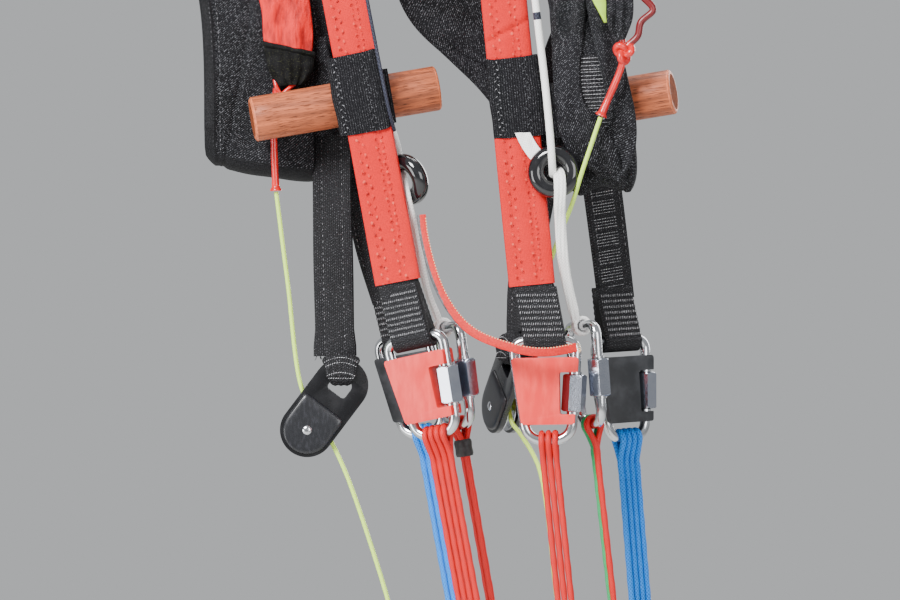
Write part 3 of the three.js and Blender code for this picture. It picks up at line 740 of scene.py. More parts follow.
class Finish:
    """One material under construction, with short ways to add nodes and link them."""

    def __init__(self, name):
        self.material = bpy.data.materials.new(name)
        self.material.use_nodes = True
        self.tree = self.material.node_tree
        self.tree.nodes.clear()
        self.shader = new_node(self.tree, "ShaderNodeBsdfPrincipled")
        new_node(self.tree, "ShaderNodeOutputMaterial", [(0, self.shader.outputs[0])])

    def node(self, kind, inputs=(), **settings):
        return new_node(self.tree, kind, inputs, **settings).outputs

    def math(self, operation, *values):
        return self.node("ShaderNodeMath", enumerate(values), operation=operation)[0]

    def plus(self, a, b):
        return self.math("ADD", a, b)

    def minus(self, a, b):
        return self.math("SUBTRACT", a, b)

    def times(self, a, b):
        return self.math("MULTIPLY", a, b)

    def uv(self):
        """Across and along the piece, in millimetres."""
        layer = self.node("ShaderNodeUVMap", uv_map="millimetres")
        return self.node("ShaderNodeSeparateXYZ", [(0, layer[0])])[:2]

    def stretched_uv(self, across, along):
        """The UV of the piece, in millimetres times across and along."""
        u, v = self.uv()
        sizes = enumerate((self.times(u, across), self.times(v, along)))
        return self.node("ShaderNodeCombineXYZ", sizes)[0]

    def noise_on(self, vector, scale, detail):
        inputs = [("Vector", vector), ("Scale", scale), ("Detail", detail)]
        return self.node("ShaderNodeTexNoise", inputs)["Fac"]

    def noise(self, size, detail=2.0, stretch=(1, 1, 1)):
        """Noise whose features are about size millimetres across, in the space of the object."""
        inputs = [("Vector", self.node("ShaderNodeTexCoord")["Object"]), ("Scale", stretch)]
        return self.noise_on(self.node("ShaderNodeMapping", inputs)[0], 1 / (size * MM), detail)

    def wave(self, value, pitch):
        """A wave from 0 to 1 along a value in millimetres."""
        turned = self.times(value, TURN / pitch)
        return self.times(self.plus(self.math("SINE", turned), 1.0), 0.5)

    def weave(self, pitch):
        """Threads that cross, from 0 to 1."""
        u, v = self.uv()
        return self.times(self.wave(u, pitch), self.wave(v, pitch))

    def between(self, value, low, high):
        """0 below low, 1 above high, smooth between them."""
        inputs = [("Value", value), ("From Min", low), ("From Max", high)]
        return self.node("ShaderNodeMapRange", inputs, interpolation_type="SMOOTHSTEP")[0]

    def ranged(self, value, low, high):
        """A value from 0 to 1 spread from low to high."""
        return self.plus(self.times(value, high - low), low)

    def mixed(self, share, *colours):
        colours = [c if isinstance(c, bpy.types.NodeSocket) else (*c, 1.0) for c in colours]
        return self.node("ShaderNodeMix", [(0, share), *enumerate(colours, 6)], data_type="RGBA")[2]

    def blotched(self, size, detail, low, high, first, second):
        """Two colours in blotches about size millimetres across."""
        return self.mixed(self.between(self.noise(size, detail), low, high), first, second)

    def done(self, colour, roughness, height=None, relief=0.1, specular=0.5, **fixed):
        """Ends the material. relief is the bump's depth in millimetres, and fixed are other sockets."""
        fixed.update(Base_Color=colour, Roughness=roughness, Specular_IOR_Level=specular)
        if height is not None:
            bump = [("Height", height), ("Distance", relief * MM)]
            fixed["Normal"] = self.node("ShaderNodeBump", bump)[0]
        for label, value in fixed.items():
            feed(self.tree, self.shader.inputs[label.replace("_", " ")], value)
        return self.material


def chosen(group, label):
    """A colour from the sidebar."""
    return tuple(getattr(getattr(bpy.context.scene, f"risers_{group}"), label))


def shade(colour, factor):
    return tuple(min(1.0, c * factor) for c in colour)


def shared(name, build):
    """A finish that is built at its first use and shared after that."""
    return bpy.data.materials.get(name) or build(Finish(name))


def once(build):
    """Makes a shared finish of a function that builds it. Its name is the function's."""
    return lambda: shared(build.__name__.replace("_", " "), build)


# Sewing threads: size of their flecks in millimetres, darker and lighter colour, roughness
THREADS = {
    "grey": (1.5, (0.2, 0.2, 0.215), (0.6, 0.61, 0.63), 0.55),
    "end": (0.8, (0.11, 0.11, 0.12), (0.5, 0.5, 0.52), 0.6),
    "dull": (1.5, (0.05, 0.05, 0.055), (0.24, 0.24, 0.255), 0.6),
    "dark": (1.2, (0.016, 0.016, 0.019), (0.085, 0.085, 0.095), 0.5),
}

# Braids: colour of the strands, of the gaps and of stray fibres, pitch and relief in millimetres
BRAIDS = {
    "red": ((0.66, 0.006, 0.006), (0.36, 0.003, 0.003), (0.8, 0.08, 0.06), 1.1, 0.06),
    "blue": ((0.0, 0.25, 0.86), (0.0, 0.09, 0.4), (0.15, 0.55, 0.97), 1.5, 0.12),
    "green": ((0.012, 0.4, 0.12), (0.005, 0.2, 0.055), (0.18, 0.7, 0.32), 1.1, 0.06),
    "white": ((0.95, 0.95, 0.93), (0.8, 0.8, 0.78), (0.98, 0.98, 0.97), 1.3, 0.09),
    "dark": ((0.025, 0.028, 0.05), (0.008, 0.009, 0.016), (0.12, 0.13, 0.18), 1.6, 0.14),
}


@once
def red_cover(f):
    """Plain woven red cover, dented where the thread pulls it in, with painted shade in the dents and a little
    fading.
    """
    red = chosen("fabric", "red")
    u, v = f.uv()
    weave = f.weave(0.62)
    cloth = f.noise(0.45, 3.0)
    fade = f.noise(14)
    uneven = f.between(f.noise(2.3), 0.36, 0.62)
    dents = f.times(dented(f, u, v), uneven)
    tufts = f.times(dented(f, f.plus(u, 0.5), f.plus(v, 1.2)), f.minus(1.0, uneven))
    colour = f.mixed(f.between(cloth, 0.3, 0.75), shade(red, 0.86), shade(red, 1.12))
    colour = f.mixed(f.times(f.between(fade, 0.35, 0.8), 0.25), colour, (0.75, 0.025, 0.02))
    # Painted shade: the needle dents are darkened in the colour as well as pressed in by the bump.
    colour = f.mixed(f.times(dents, 0.62), colour, shade(red, 0.4))
    colour = f.mixed(f.times(tufts, 0.4), colour, (0.95, 0.2, 0.13))
    height = f.plus(f.times(weave, 0.25), f.times(cloth, 0.25))
    height = f.minus(height, f.times(dents, 1.1))
    height = f.plus(height, f.times(tufts, 0.6))
    return f.done(colour, f.ranged(cloth, 0.66, 0.88), height, 0.35, specular=0.3)


def dented(f, u, v):
    """1 at each needle hole of the cover's zigzag rows, 0 away from them."""
    pitch = bpy.context.scene.risers_fabric.pitch / MM
    wander = f.minus(f.noise(3.1, 1.0), 0.5)
    u = f.plus(u, f.times(wander, 1.6))
    dents = None
    for seam in COVER_SEAMS:
        for side in (-1, 1):
            across = f.minus(u, seam + side * COVER_SWING)
            phase = f.math("FRACT", f.plus(f.math("DIVIDE", v, pitch), 0.25 * side + 0.5))
            along = f.times(f.minus(phase, 0.5), 0.8 * pitch)
            away = f.plus(f.times(across, across), f.times(along, along))
            dent = f.minus(1.0, f.between(away, 0.02, 0.42))
            dents = dent if dents is None else f.math("MAXIMUM", dents, dent)
    return dents


@once
def black_webbing(f):
    """Coarse black webbing whose yarns catch the light."""
    black = chosen("fabric", "black")
    u, v = f.uv()
    slant = f.plus(v, f.times(f.wave(u, 4.2), 1.1))
    rows = f.wave(slant, 1.15)
    yarns = f.wave(u, 0.8)
    weave = f.times(rows, yarns)
    glint = f.times(f.between(f.noise(0.32, 3.0), 0.5, 0.72), f.between(weave, 0.25, 0.75))
    colour = f.mixed(f.times(weave, 0.6), shade(black, 0.5), shade(black, 1.6))
    colour = f.mixed(glint, colour, (0.21, 0.21, 0.23))
    return f.done(colour, f.ranged(glint, 0.8, 0.55), weave, 0.22, specular=0.35)


@once
def pad_cloth(f):
    """Black twill with a fine slanting grain and painted highlights, pale glints on the yarns."""
    black = chosen("fabric", "black")
    u, v = f.uv()
    twill = f.wave(f.plus(f.times(u, 0.8), v), 0.95)
    yarn = f.noise(0.55, 3.0)
    glint = f.times(f.between(yarn, 0.48, 0.68), f.between(twill, 0.3, 0.85))
    tone = f.between(f.noise(22), 0.3, 0.7)
    colour = f.mixed(tone, shade(black, 0.4), shade(black, 0.9))
    # Painted highlight: pale glints where the yarn noise and the twill's crests meet.
    colour = f.mixed(glint, colour, (0.14, 0.142, 0.155))
    height = f.plus(twill, f.times(yarn, 0.6))
    return f.done(colour, 0.85, height, 0.2, specular=0.2)


@once
def elastic_knit(f):
    """Ribbed knitted elastic, nearly black."""
    u, v = f.uv()
    ribs = f.wave(u, 0.95)
    knit = f.wave(v, 0.7)
    yarn = f.noise(0.3, 3.0)
    glint = f.times(f.between(yarn, 0.55, 0.72), ribs)
    colour = f.mixed(ribs, (0.002, 0.002, 0.003), (0.006, 0.006, 0.008))
    colour = f.mixed(glint, colour, (0.2, 0.2, 0.215))
    height = f.plus(ribs, f.times(knit, 0.35))
    return f.done(colour, 0.8, height, 0.2, specular=0.18)


@once
def edge_tape(f):
    """Smooth black ribbon that binds the edges."""
    u, v = f.uv()
    ribs = f.wave(v, 0.55)
    colour = f.blotched(0.5, 2.0, 0.45, 0.75, (0.002, 0.002, 0.003), (0.016, 0.016, 0.019))
    height = f.plus(ribs, f.times(f.wave(u, 0.8), 0.3))
    return f.done(colour, 0.6, height, 0.1, specular=0.2)


def thread_of(kind):
    """Sewing thread of one of the kinds in THREADS."""
    size, dark, light, roughness = THREADS[kind]

    def build(f):
        colour = f.blotched(size, 2.0, 0.35, 0.7, dark, light)
        return f.done(colour, roughness, f.noise(0.15, 1.0), 0.03)

    return shared(f"{kind} thread", build)


@once
def red_thread(f):
    """Sewing thread of the covers, a little darker than the cloth."""
    red = chosen("fabric", "red")
    colour = f.blotched(1.2, 2.0, 0.35, 0.7, shade(red, 0.42), shade(red, 1.0))
    return f.done(colour, 0.6, f.noise(0.15, 1.0), 0.03)


def braid(kind):
    """A braided cover, two sets of strands that cross on a slant, of one of the kinds in BRAIDS."""
    light, dark, fleck, pitch, relief = BRAIDS[kind]

    def build(f):
        u, v = f.uv()
        left = f.wave(f.plus(u, v), pitch)
        right = f.wave(f.minus(u, v), pitch)
        over = f.math("MAXIMUM", left, right)
        fibre = f.noise(0.35)
        colour = f.mixed(f.between(over, 0.35, 0.95), dark, light)
        colour = f.mixed(f.times(f.between(fibre, 0.6, 0.75), 0.5), colour, fleck)
        height = f.plus(over, f.times(fibre, 0.3))
        return f.done(colour, 0.55, height, relief, specular=0.35)

    return shared(f"{kind} braid", build)


@once
def glossy_sheath(f):
    """Smooth red tube over the brake line, shiny on its crests."""
    flow = f.noise(3.0, stretch=(1, 1, 0.4))
    colour = f.mixed(f.between(flow, 0.3, 0.75), (0.5, 0.004, 0.004), (0.72, 0.01, 0.008))
    return f.done(colour, 0.28, flow, 0.05, Coat_Weight=0.3)


@once
def dark_sheath(f):
    """Dark maroon of the cord's loop above the right sheath's knot, painted shade that stands in for the shade
    on it.
    """
    flow = f.noise(2.0)
    return f.done(f.mixed(flow, (0.09, 0.004, 0.006), (0.2, 0.008, 0.01)), 0.35, flow, 0.04)


@once
def bright_line(f):
    """Yellow-green coated line, smooth and a little translucent."""
    fibre = f.noise(0.5)
    colour = f.mixed(fibre, (0.52, 0.82, 0.07), (0.68, 0.95, 0.16))
    return f.done(colour, 0.4, fibre, 0.05)


@once
def toggle_wood(f):
    """Oiled hardwood: stretched figure and short dark pores."""
    wood = chosen("hardware", "wood")
    grain = f.stretched_uv(1.0, 0.07)
    figure = f.noise_on(grain, 0.5, 4.0)
    dark = f.between(f.noise_on(grain, 2.6, 3.0), 0.54, 0.66)
    colour = f.mixed(f.between(figure, 0.3, 0.7), shade(wood, 0.6), shade(wood, 1.45))
    colour = f.mixed(f.times(dark, 0.85), colour, shade(wood, 0.2))
    height = f.minus(f.times(figure, 0.3), dark)
    return f.done(colour, f.ranged(dark, 0.5, 0.75), height, 0.07, specular=0.35)


@once
def toggle_edge(f):
    """The chamfer of the wood, in paler colours than the barrel."""
    wood = chosen("hardware", "wood")
    colour = f.blotched(1.0, 3.0, 0.35, 0.7, shade(wood, 1.2), shade(wood, 1.9))
    return f.done(colour, 0.5, f.noise(0.4), 0.05)


@once
def end_grain(f):
    """The sawn ends of the toggles, darker and open-pored."""
    wood = chosen("hardware", "wood")
    pores = f.between(f.noise(0.35, 3.0), 0.5, 0.65)
    colour = f.blotched(3.0, 2.0, 0.3, 0.7, shade(wood, 0.45), shade(wood, 0.75))
    colour = f.mixed(f.times(pores, 0.6), colour, shade(wood, 0.2))
    return f.done(colour, 0.9, pores, -0.06, specular=0.1)


@once
def polished_steel(f):
    """Polished stainless steel with fine hairlines along the wire."""
    return steel(f, (0.52, 0.53, 0.56), (0.68, 0.69, 0.71))


@once
def nut_steel(f):
    """The gate nuts' steel, a little darker and bluer than the wire."""
    return steel(f, (0.36, 0.385, 0.46), (0.5, 0.52, 0.58))


def steel(f, dark, light):
    polish = bpy.context.scene.risers_hardware.polish
    hair = f.noise_on(f.stretched_uv(4.0, 0.25), 1.6, 3.0)
    worn = f.noise(6, 3.0)
    roughness = f.plus(f.ranged(hair, polish * 0.6, polish * 1.5), f.ranged(worn, 0.0, 0.04))
    return f.done(f.mixed(worn, dark, light), roughness, hair, 0.012, Metallic=1.0)


@once
def black_plastic(f):
    """Smooth black moulded plastic, glossy, with a few faint scuffs."""
    scuff = f.noise(7.0, 3.0)
    speck = f.between(f.noise(0.7), 0.7, 0.8)
    colour = f.mixed(f.between(scuff, 0.4, 0.8), (0.003, 0.003, 0.004), (0.008, 0.008, 0.01))
    colour = f.mixed(f.times(speck, 0.3), colour, (0.06, 0.06, 0.066))
    gloss = {"specular": 0.3, "Coat_Weight": 0.5, "Coat_Roughness": 0.08}
    return f.done(colour, f.ranged(f.between(scuff, 0.35, 0.75), 0.24, 0.34), scuff, 0.01, **gloss)


@once
def worn_plastic(f):
    """Raised faces of the pulley blocks, duller than the rest and painted lighter, which stands in for the
    light that their tilt catches.
    """
    scuff = f.noise(1.1, 3.0, stretch=(1, 1, 0.4))
    # Painted light: lighter blacks than the block's other plastic.
    colour = f.mixed(f.between(scuff, 0.45, 0.75), (0.008, 0.0085, 0.011), (0.018, 0.0185, 0.024))
    gloss = {"specular": 0.4, "Coat_Weight": 0.3, "Coat_Roughness": 0.12}
    return f.done(colour, f.ranged(scuff, 0.3, 0.42), scuff, 0.015, **gloss)


@once
def ring_gloss(f):
    """Glossy black of the guide rings."""
    scuff = f.noise(3.0, 3.0)
    colour = f.mixed(scuff, (0.004, 0.004, 0.005), (0.012, 0.012, 0.014))
    return f.done(colour, f.ranged(f.between(scuff, 0.45, 0.75), 0.07, 0.2), scuff, 0.008, Coat_Weight=0.5)


@once
def red_plastic(f):
    """Soft red plastic with pale stress marks and flow lines."""
    flow = f.noise(5.0, 3.0, stretch=(1.6, 1.6, 0.45))
    speck = f.noise(0.5, 3.0)
    colour = f.mixed(f.between(flow, 0.35, 0.7), (0.74, 0.02, 0.018), (0.84, 0.05, 0.04))
    soft = {"Subsurface_Weight": 0.12, "Subsurface_Radius": (0.004, 0.001, 0.001)}
    return f.done(colour, f.ranged(speck, 0.36, 0.52), speck, 0.02, **soft)


@once
def dark_plastic(f):
    """Dark grey plastic with a fine moulded grain."""
    speck = f.noise(0.35, 3.0)
    dust = f.noise(7.0, 3.0)
    colour = f.mixed(f.between(dust, 0.35, 0.75), (0.014, 0.015, 0.018), (0.042, 0.044, 0.05))
    return f.done(colour, f.ranged(speck, 0.42, 0.62), speck, 0.05)


@once
def neon_cloth(f):
    """Bright yellow-green coated cloth."""
    weave = f.weave(0.5)
    colour = f.mixed(f.noise(3.0), (0.35, 0.6, 0.02), (0.5, 0.8, 0.05))
    return f.done(colour, 0.35, weave, 0.08)


# Webbing


def softened(rows, window):
    """A route whose corners are eased over a window of so many rows. Its ends stay."""
    reach = window // 2
    padded = np.vstack([2 * rows[0] - rows[reach:0:-1], rows, 2 * rows[-1] - rows[-2 : -reach - 2 : -1]])
    kernel = np.ones(2 * reach + 1) / (2 * reach + 1)
    return columns(*(np.convolve(column, kernel, mode="valid") for column in padded.T))


def strap_lines(rows, wide, out, offsets, lift, ends=(1.0, 1.0)):
    """Guides for stitches along a strap, on both its faces."""
    guides = []
    run = run_of(rows)
    kept = (run >= ends[0]) & (run <= run[-1] - ends[1])
    for face in (1, -1):
        for offset in offsets:
            line = rows[kept, :3] + wide[kept] * offset + out[kept] * lift * face
            guides.append((line, out[kept] * face))
    return guides


def front_cover(side):
    fabric = bpy.context.scene.risers_fabric
    rows = even_route(SETS[side]["front_strap"], 1.1)
    wide, out = strap_axes(rows[:, :3], rows[:, 3])
    run = run_of(rows)
    phase = 0.0 if side == "left" else 2.1

    def relief(x, along):
        channels = sum(ridge(x - seam, 1.7) for seam in COVER_SEAMS)
        pucker = 0.5 + 0.5 * np.sin(along * TURN / 4.2 + np.sign(x) + phase)
        wander = 0.16 * np.sin(along / 13 + x / 5 + phase) + 0.1 * np.sin(along / 5.3 - x / 3)
        hem = 0.35 * ramp(along - run[-1] + 4, 1.2)
        slant = x * COVER_SLANT
        fold = ramp(COVER_FOLD - along - slant, 0.9)
        fold = fold - 1.3 * ridge(along - COVER_FOLD - 0.9 + slant, 0.9)
        return wander + hem - channels * (0.3 + 0.2 * pucker) + 0.55 * fold * (side == "right")

    shell = Shell()
    own = FRONT_STRAP["width"] + 0.18 * np.sin(run / 21 + phase)
    shell.band(rows, wide, out, own, FRONT_STRAP["thickness"] / 2, relief, samples=30, roundness=4)
    name = f"{side}_front_cover"
    finished(name, shell, [red_cover()], [f"{side}_front_riser"])
    guides = strap_lines(rows, wide, out, COVER_SEAMS, FRONT_STRAP["thickness"] / 2 - 0.2, (2, 5))
    kind = (fabric.pitch / MM / 2, COVER_STITCH, fabric.thread / MM)
    stitched(f"{name}_stitches", guides, red_thread(), kind, COVER_SWING, 0.5)


def folded_end(shell, link):
    """The end of a strap folded round a link's bar, with the ribs of its close rows of stitches."""
    width, height, wall, bore = WEBBING_END.values()
    foot = arc((0, 0), bore + wall, 180, 360, 25)
    outline = np.vstack([[(wall, height), (-wall, height)], foot])
    outline = dense(outline, 0.36)
    ribs = 0.24 * np.cos(TURN * outline[:, 1] / END_ROW_PITCH) * (outline[:, 1] > -1)
    outline = outline + unit(outline * (1, 0.05)) * ribs[:, None]
    spread = np.linspace(-1, 1, 23)
    spread = np.sin(spread * math.pi / 2)
    squeeze = (1 - np.abs(spread) ** 14) ** (1 / 5)
    outer = []
    for x, share in zip(spread, squeeze):
        y = outline[:, 0] * (0.62 + 0.38 * share)
        outer.append(columns(x * width / 2, y, outline[:, 1]))
    inner = unit(outline) * bore
    for x in (1, -1):
        outer.append(columns(x * width / 2, *inner.T))
    rows = np.array([moved(link_place(link), slipped(ring, link["slip"])) for ring in outer])
    # Along the fold is the way that the webbing runs, so it is the second coordinate of the weave
    across = run_on(outline, 0.3)
    along = np.concatenate([spread * width / 2, [9.5, 26.5, 27.5]])
    first = len(shell.uvs)
    shell.grid(rows, across, along, closed=True)
    shell.uvs[first:] = [tuple((v, u) for u, v in corner) for corner in shell.uvs[first:]]


def slipped(points, slip):
    """Slides the upper part of a folded end across."""
    points = np.array(points, float)
    points[:, 0] += slip * np.clip(points[:, 2] / WEBBING_END["height"], 0, 1)
    return points


def ribbed_stitches(name, side, link):
    """Rows of thread across a folded end, one on each rib and face."""
    link = SETS[side]["links"][link]
    matrix = link_place(link)
    width, height, wall, bore = WEBBING_END.values()
    guides = []
    for row in range(1, int(height / END_ROW_PITCH)):
        z = row * END_ROW_PITCH
        y = wall + bore * (1 - z / height) + 0.12
        for face in (-1, 1):
            line = [(x, face * y, z) for x in np.linspace(0.9 - width / 2, width / 2 - 0.9, 12)]
            guides.append((moved(matrix, slipped(line, link["slip"])), facing(matrix, face)))
    stitched(name, guides, thread_of("end"), STITCHES["folded end"], slant=END_SLANT[side])


def front_end(side):
    link = SETS[side]["links"]["front"]
    shell = Shell()
    folded_end(shell, link)
    upper, lower = (np.array(station[:3]) for station in SETS[side]["front_strap"])
    tucked = moved(link_place(link), [(link["slip"] * 0.8, 0, WEBBING_END["height"] - 5)])[0]
    inside = even_route([lower + unit(upper - lower) * 9, lower, tucked], 1)
    wide, out = strap_axes(inside, SETS[side]["front_strap"][1][3])
    shell.band(inside, wide, out, WEBBING_END["width"] - 0.3, 1.5)
    name = f"{side}_front_end"
    finished(name, shell, [black_webbing()], [f"{side}_front_webbing_end"])
    ribbed_stitches(f"{name}_stitches", side, "front")


def rear_strap(side):
    rows = softened(even_route(SETS[side]["rear_strap"], 1.2), 15)
    wide, out = strap_axes(rows[:, :3], rows[:, 3])
    half = REAR_STRAP["thickness"] / 2

    def relief(x, along):
        selvedge = 0.22 * (np.abs(x) > REAR_STRAP["width"] / 2 - 2.2)
        return selvedge + 0.12 * np.sin(along / 11 + x / 4)

    shell = Shell()
    shell.band(rows, wide, out, REAR_STRAP["width"], half, relief, samples=24, roundness=6)
    folded_end(shell, SETS[side]["links"]["rear"])
    name = f"{side}_rear_strap"
    finished(name, shell, [black_webbing()], [f"{side}_rear_riser"])
    ribbed_stitches(f"{name}_end_stitches", side, "rear")
    seams = strap_lines(rows, wide, out, (-6.6, 6.6), half + 0.2, (2, 16))
    stitched(f"{name}_seams", seams, thread_of("dull"), STITCHES["rear seam"])
    if side == "right":
        shown = rows[:, 2] < 46
        cross_stitches(f"{name}_ribs", rows[shown], wide[shown], out[shown], (-6.4, 3.2), half + 0.25)


def brake_strap(side):
    rows = softened(smooth_route(SETS[side]["brake_strap"], 1.0), 5)
    wide, out = strap_axes(rows[:, :3], rows[:, 3])
    run = run_of(rows)
    half = BRAKE_STRAP["thickness"] / 2
    own = BRAKE_STRAP["width"] + 0.2 * np.sin(run / 9) + 1.5 * ramp(run - run[-1] + 11, 7)

    def relief(x, along):
        quarter = ridge(np.abs(x) - 4, 0.6)
        return 0.1 * np.sin(along / 8 + x / 3) - 0.22 * quarter + 0.12 * np.abs(x) / 8

    shell = Shell()
    shell.band(rows, wide, out, own, half, relief, samples=24, roundness=6)
    sling_guides = pulley_sling(shell, side)
    frays(shell, rows[-1, :3], wide[-1], side)
    name = f"{side}_pulley_strap"
    finished(name, shell, [black_webbing()], [f"{side}_brake_strap"])
    stitched(f"{name}_sling_stitches", sling_guides, thread_of("grey"), STITCHES["sling"], slant=0.4)
    seams = strap_lines(rows, wide, out, (-4, 4), half - 0.05, (2, 2))
    stitched(f"{name}_stitches", seams, thread_of("dull"), STITCHES["brake seam"])


def pulley_sling(shell, side):
    """The bunched loop of the strap through the eye of the pulley block."""
    block, _, yaw = SETS[side]["block"]
    matrix = turned_plane(block, 0, yaw)
    rim, middle = BLOCK["radius"] - BLOCK["eye"], (BLOCK["radius"] + BLOCK["eye"]) / 2
    depth, height = BLOCK["thickness"] / 2 + 1.7, rim / 2 + 2.4
    turn = round_angles(56)
    round_off = 0.62
    y = flattened(np.cos(turn), round_off) * depth
    z = flattened(np.sin(turn), round_off) * height + middle
    path = columns(0, y, z - 0.9)
    spread = 0.5 + 0.5 * np.sin(turn)
    own = 8.0 + 7.4 * spread**0.8
    tangent = unit(np.roll(path, -1, axis=0) - np.roll(path, 1, axis=0))
    wide = np.broadcast_to((1.0, 0.0, 0.0), path.shape)
    out = np.cross(tangent, wide)

    def relief(x, along):
        return 0.16 * np.cos(x * TURN / 2.4) + 0.26 * np.cos(along * TURN / 1.9)

    first = len(shell.points)
    shell.band(path, wide, out, own, 0.95, relief, samples=28, closed=True)
    shell.moulded(lambda points: moved(matrix, arched(points)), first)
    guides = []
    for row in (-4, -1, 2, 5):
        half = own[row] / 2 - 0.5
        for at, face in ((path[row], out[row]), (path[28 - row], out[28 - row])):
            line = np.array([(x, at[1], at[2]) for x in np.linspace(-half, half, 12)]) + face * 1.25
            guides.append((moved(matrix, arched(line)), tuple(matrix.to_3x3() @ Vector(face))))
    return guides


def arched(points):
    """Lets the sides of the sling hang lower than its middle."""
    points = np.array(points, float)
    points[:, 2] -= 0.045 * points[:, 0] ** 2 * (points[:, 2] > 4)
    return points


def frays(shell, end, wide, side):
    """Loose yarn ends below the cut end of the strap."""
    chance = np.random.default_rng(11 if side == "left" else 12)
    for offset in chance.uniform(-0.5, 0.5, 26) * BRAKE_STRAP["width"]:
        start = end + wide * offset + (0, chance.uniform(-0.7, 0.7), 0.6)
        tip = start + (chance.uniform(-1, 1), chance.uniform(-0.8, 0.8), -chance.uniform(1.4, 3.2))
        bend = (start + tip) / 2 + chance.uniform(-0.4, 0.4, 3)
        shell.tube(smooth_route([start, bend, tip], 0.6), 0.1, sides=5, rounded=False)


def main_loop(side):
    matrix = hanging(*SETS[side]["eye"])
    width, wall, radius, drop, tail, thickness = MAIN_LOOP.values()
    half = thickness / 2
    outline = [(-half, -tail), (half, -tail), (half, -drop - wall), *arc((0, 0), radius + wall, 0, 180, 33)]
    outline.append((-half, -drop - wall))
    eye = [*arc((0, 0), radius, 0, 180, 33), (0, -drop)]
    shell = Shell()
    shell.slab(dense(outline, 2), width, matrix, [dense(eye, 2)], across=(0, 1, 0))
    name = f"{side}_main_loop_webbing"
    finished(name, shell, [black_webbing()], [f"{side}_main_loop"], bevel=0.9)
    guides = []
    left, right, low, high = -7, 7, 4 - tail, -drop - 6
    box = [(left, low), (left, high), (right, high), (right, low)]
    box += [(left, low), (right, high), (left, high), (right, low)]
    for face in (1, -1):
        out = facing(matrix, face)
        corners = [(x, face * (half + 0.05), z) for x, z in box]
        for a, b in zip(corners, corners[1:]):
            guides.append((moved(matrix, even_route([a, b], 2)), out))
    stitched(f"{name}_stitches", guides, thread_of("grey"), STITCHES["main loop"])


def keeper(side):
    """The elastic sleeve round the front strap and the pocket behind it."""
    matrix = hanging(*SETS[side]["keeper"])
    outer = (KEEPER["width"] / 2, FRONT_STRAP["thickness"] / 2 + KEEPER["wall"])
    inner = (FRONT_STRAP["width"] / 2 + 0.3, FRONT_STRAP["thickness"] / 2 + 0.3)
    turn = round_angles(72)
    heights = np.linspace(-0.5, 0.5, 27) * KEEPER["height"]

    def ring(half, z, grow):
        x = flattened(np.cos(turn), 0.28) * (half[0] + grow)
        y = flattened(np.sin(turn), 0.5) * (half[1] + grow)
        wave = 0.3 * np.sin(turn * 3 + z / 4) * (abs(z) > 14)
        return columns(x, y, z + wave)

    rings = [ring(outer, z, 0.25 * math.cos(z / 3.1) - 0.5 * (abs(z) / 16) ** 8) for z in heights]
    rings += [ring(inner, z, 0) for z in heights[::-4]]
    rows = np.array([moved(matrix, r) for r in rings])
    across = run_on(rings[0], 0.6)
    along = np.concatenate([heights, heights[-1] + 1 + np.arange(len(heights[::-4]) + 1)])
    shell = Shell()
    shell.grid(rows, across, along, closed=True)
    toggle_pocket(shell, side)
    name = f"{side}_keeper_sleeve"
    finished(name, shell, [elastic_knit()], [f"{side}_toggle_keeper"])
    out = facing(matrix)
    for label, x, thread in (("outer", -7, thread_of("dull")), ("inner", 4.6, thread_of("dark"))):
        line = [(x, -outer[1] - 0.2, z) for z in np.linspace(-14.5, 14.5, 20)]
        guides = [(moved(matrix, line), out)]
        stitched(f"{name}_{label}_stitches", guides, thread, STITCHES["keeper"], 0.6, 0.9)


def toggle_pocket(shell, side):
    """The pocket's wall: round behind the toggle, drawn in to the back of the strap."""
    row = SETS[side]
    matrix = toggle_place(row["toggle"])
    along = Vector(matrix.to_3x3() @ Vector((1, 0, 0)))
    reach = (row["keeper"][0][0] - row["toggle"]["at"][0]) / along.x
    width, shift = row["pocket"]
    matrix = matrix @ Matrix.Translation((reach + shift, 0, 0))
    to_strap = row["toggle"]["at"][1] - row["keeper"][0][1]
    inner, wall = TOGGLE["radius"] + 0.3, KEEPER["wall"]
    back = arc((0, 0), inner + wall, -30, 210, 41)[:, ::-1]
    outline = np.vstack([back, [(-to_strap, 11), (-to_strap, -11)]])
    outline = outline[convex_hull_2d(outline.tolist())]
    hole = arc((0, 0), inner, 0, 360, 49)[:-1]
    shell.slab(dense(outline, 1.5), width, matrix, [hole], across=(0, 1, 0))


class RISERS_OT_webbing(bpy.types.Operator):
    """Builds the straps, their folded ends, the main loops and the toggle keepers"""

    bl_idname = "risers.webbing"
    bl_label = "Webbing"

    def execute(self, context):
        for side in SETS:
            front_cover(side)
            front_end(side)
            rear_strap(side)
            brake_strap(side)
            main_loop(side)
            keeper(side)
        return {"FINISHED"}


# Hardware


def wire_line():
    """The middle line of a link's wire, from the upper end of its gate round to the lower one."""
    _, top, left, right, shoulder, drop, corner = LINK.values()
    middle = (left + right) / 2

    def side_x(z):
        return top + (right - top) * (z + corner) / (shoulder + corner)

    upper, lower = NUT["z"] + NUT["gate"] / 2, NUT["z"] - NUT["gate"] / 2
    line = [(side_x(upper), upper)]
    line.extend(bend((top, -corner), (top, 0), (top - corner, 0)))
    line.extend(bend((corner - top, 0), (-top, 0), (-top, -corner)))
    line.extend(bend((left, shoulder), (left + 0.6, -drop), (middle, -drop), 20))
    line.extend(bend((middle, -drop), (right - 0.6, -drop), (right, shoulder), 20)[1:])
    line.append((side_x(lower), lower))
    flat = even_route(columns(*np.transpose(line), 0), 0.7)
    return softened(columns(flat[:, 0], 0, flat[:, 1]), 5)


def nut_place():
    slope = math.atan2(LINK["top"] - LINK["right"], -LINK["shoulder"] - LINK["corner"])
    x = LINK["top"] - math.tan(slope) * (-NUT["z"] - LINK["corner"])
    return Matrix.Translation((x, 0, NUT["z"])) @ Matrix.Rotation(slope, 4, "Y")


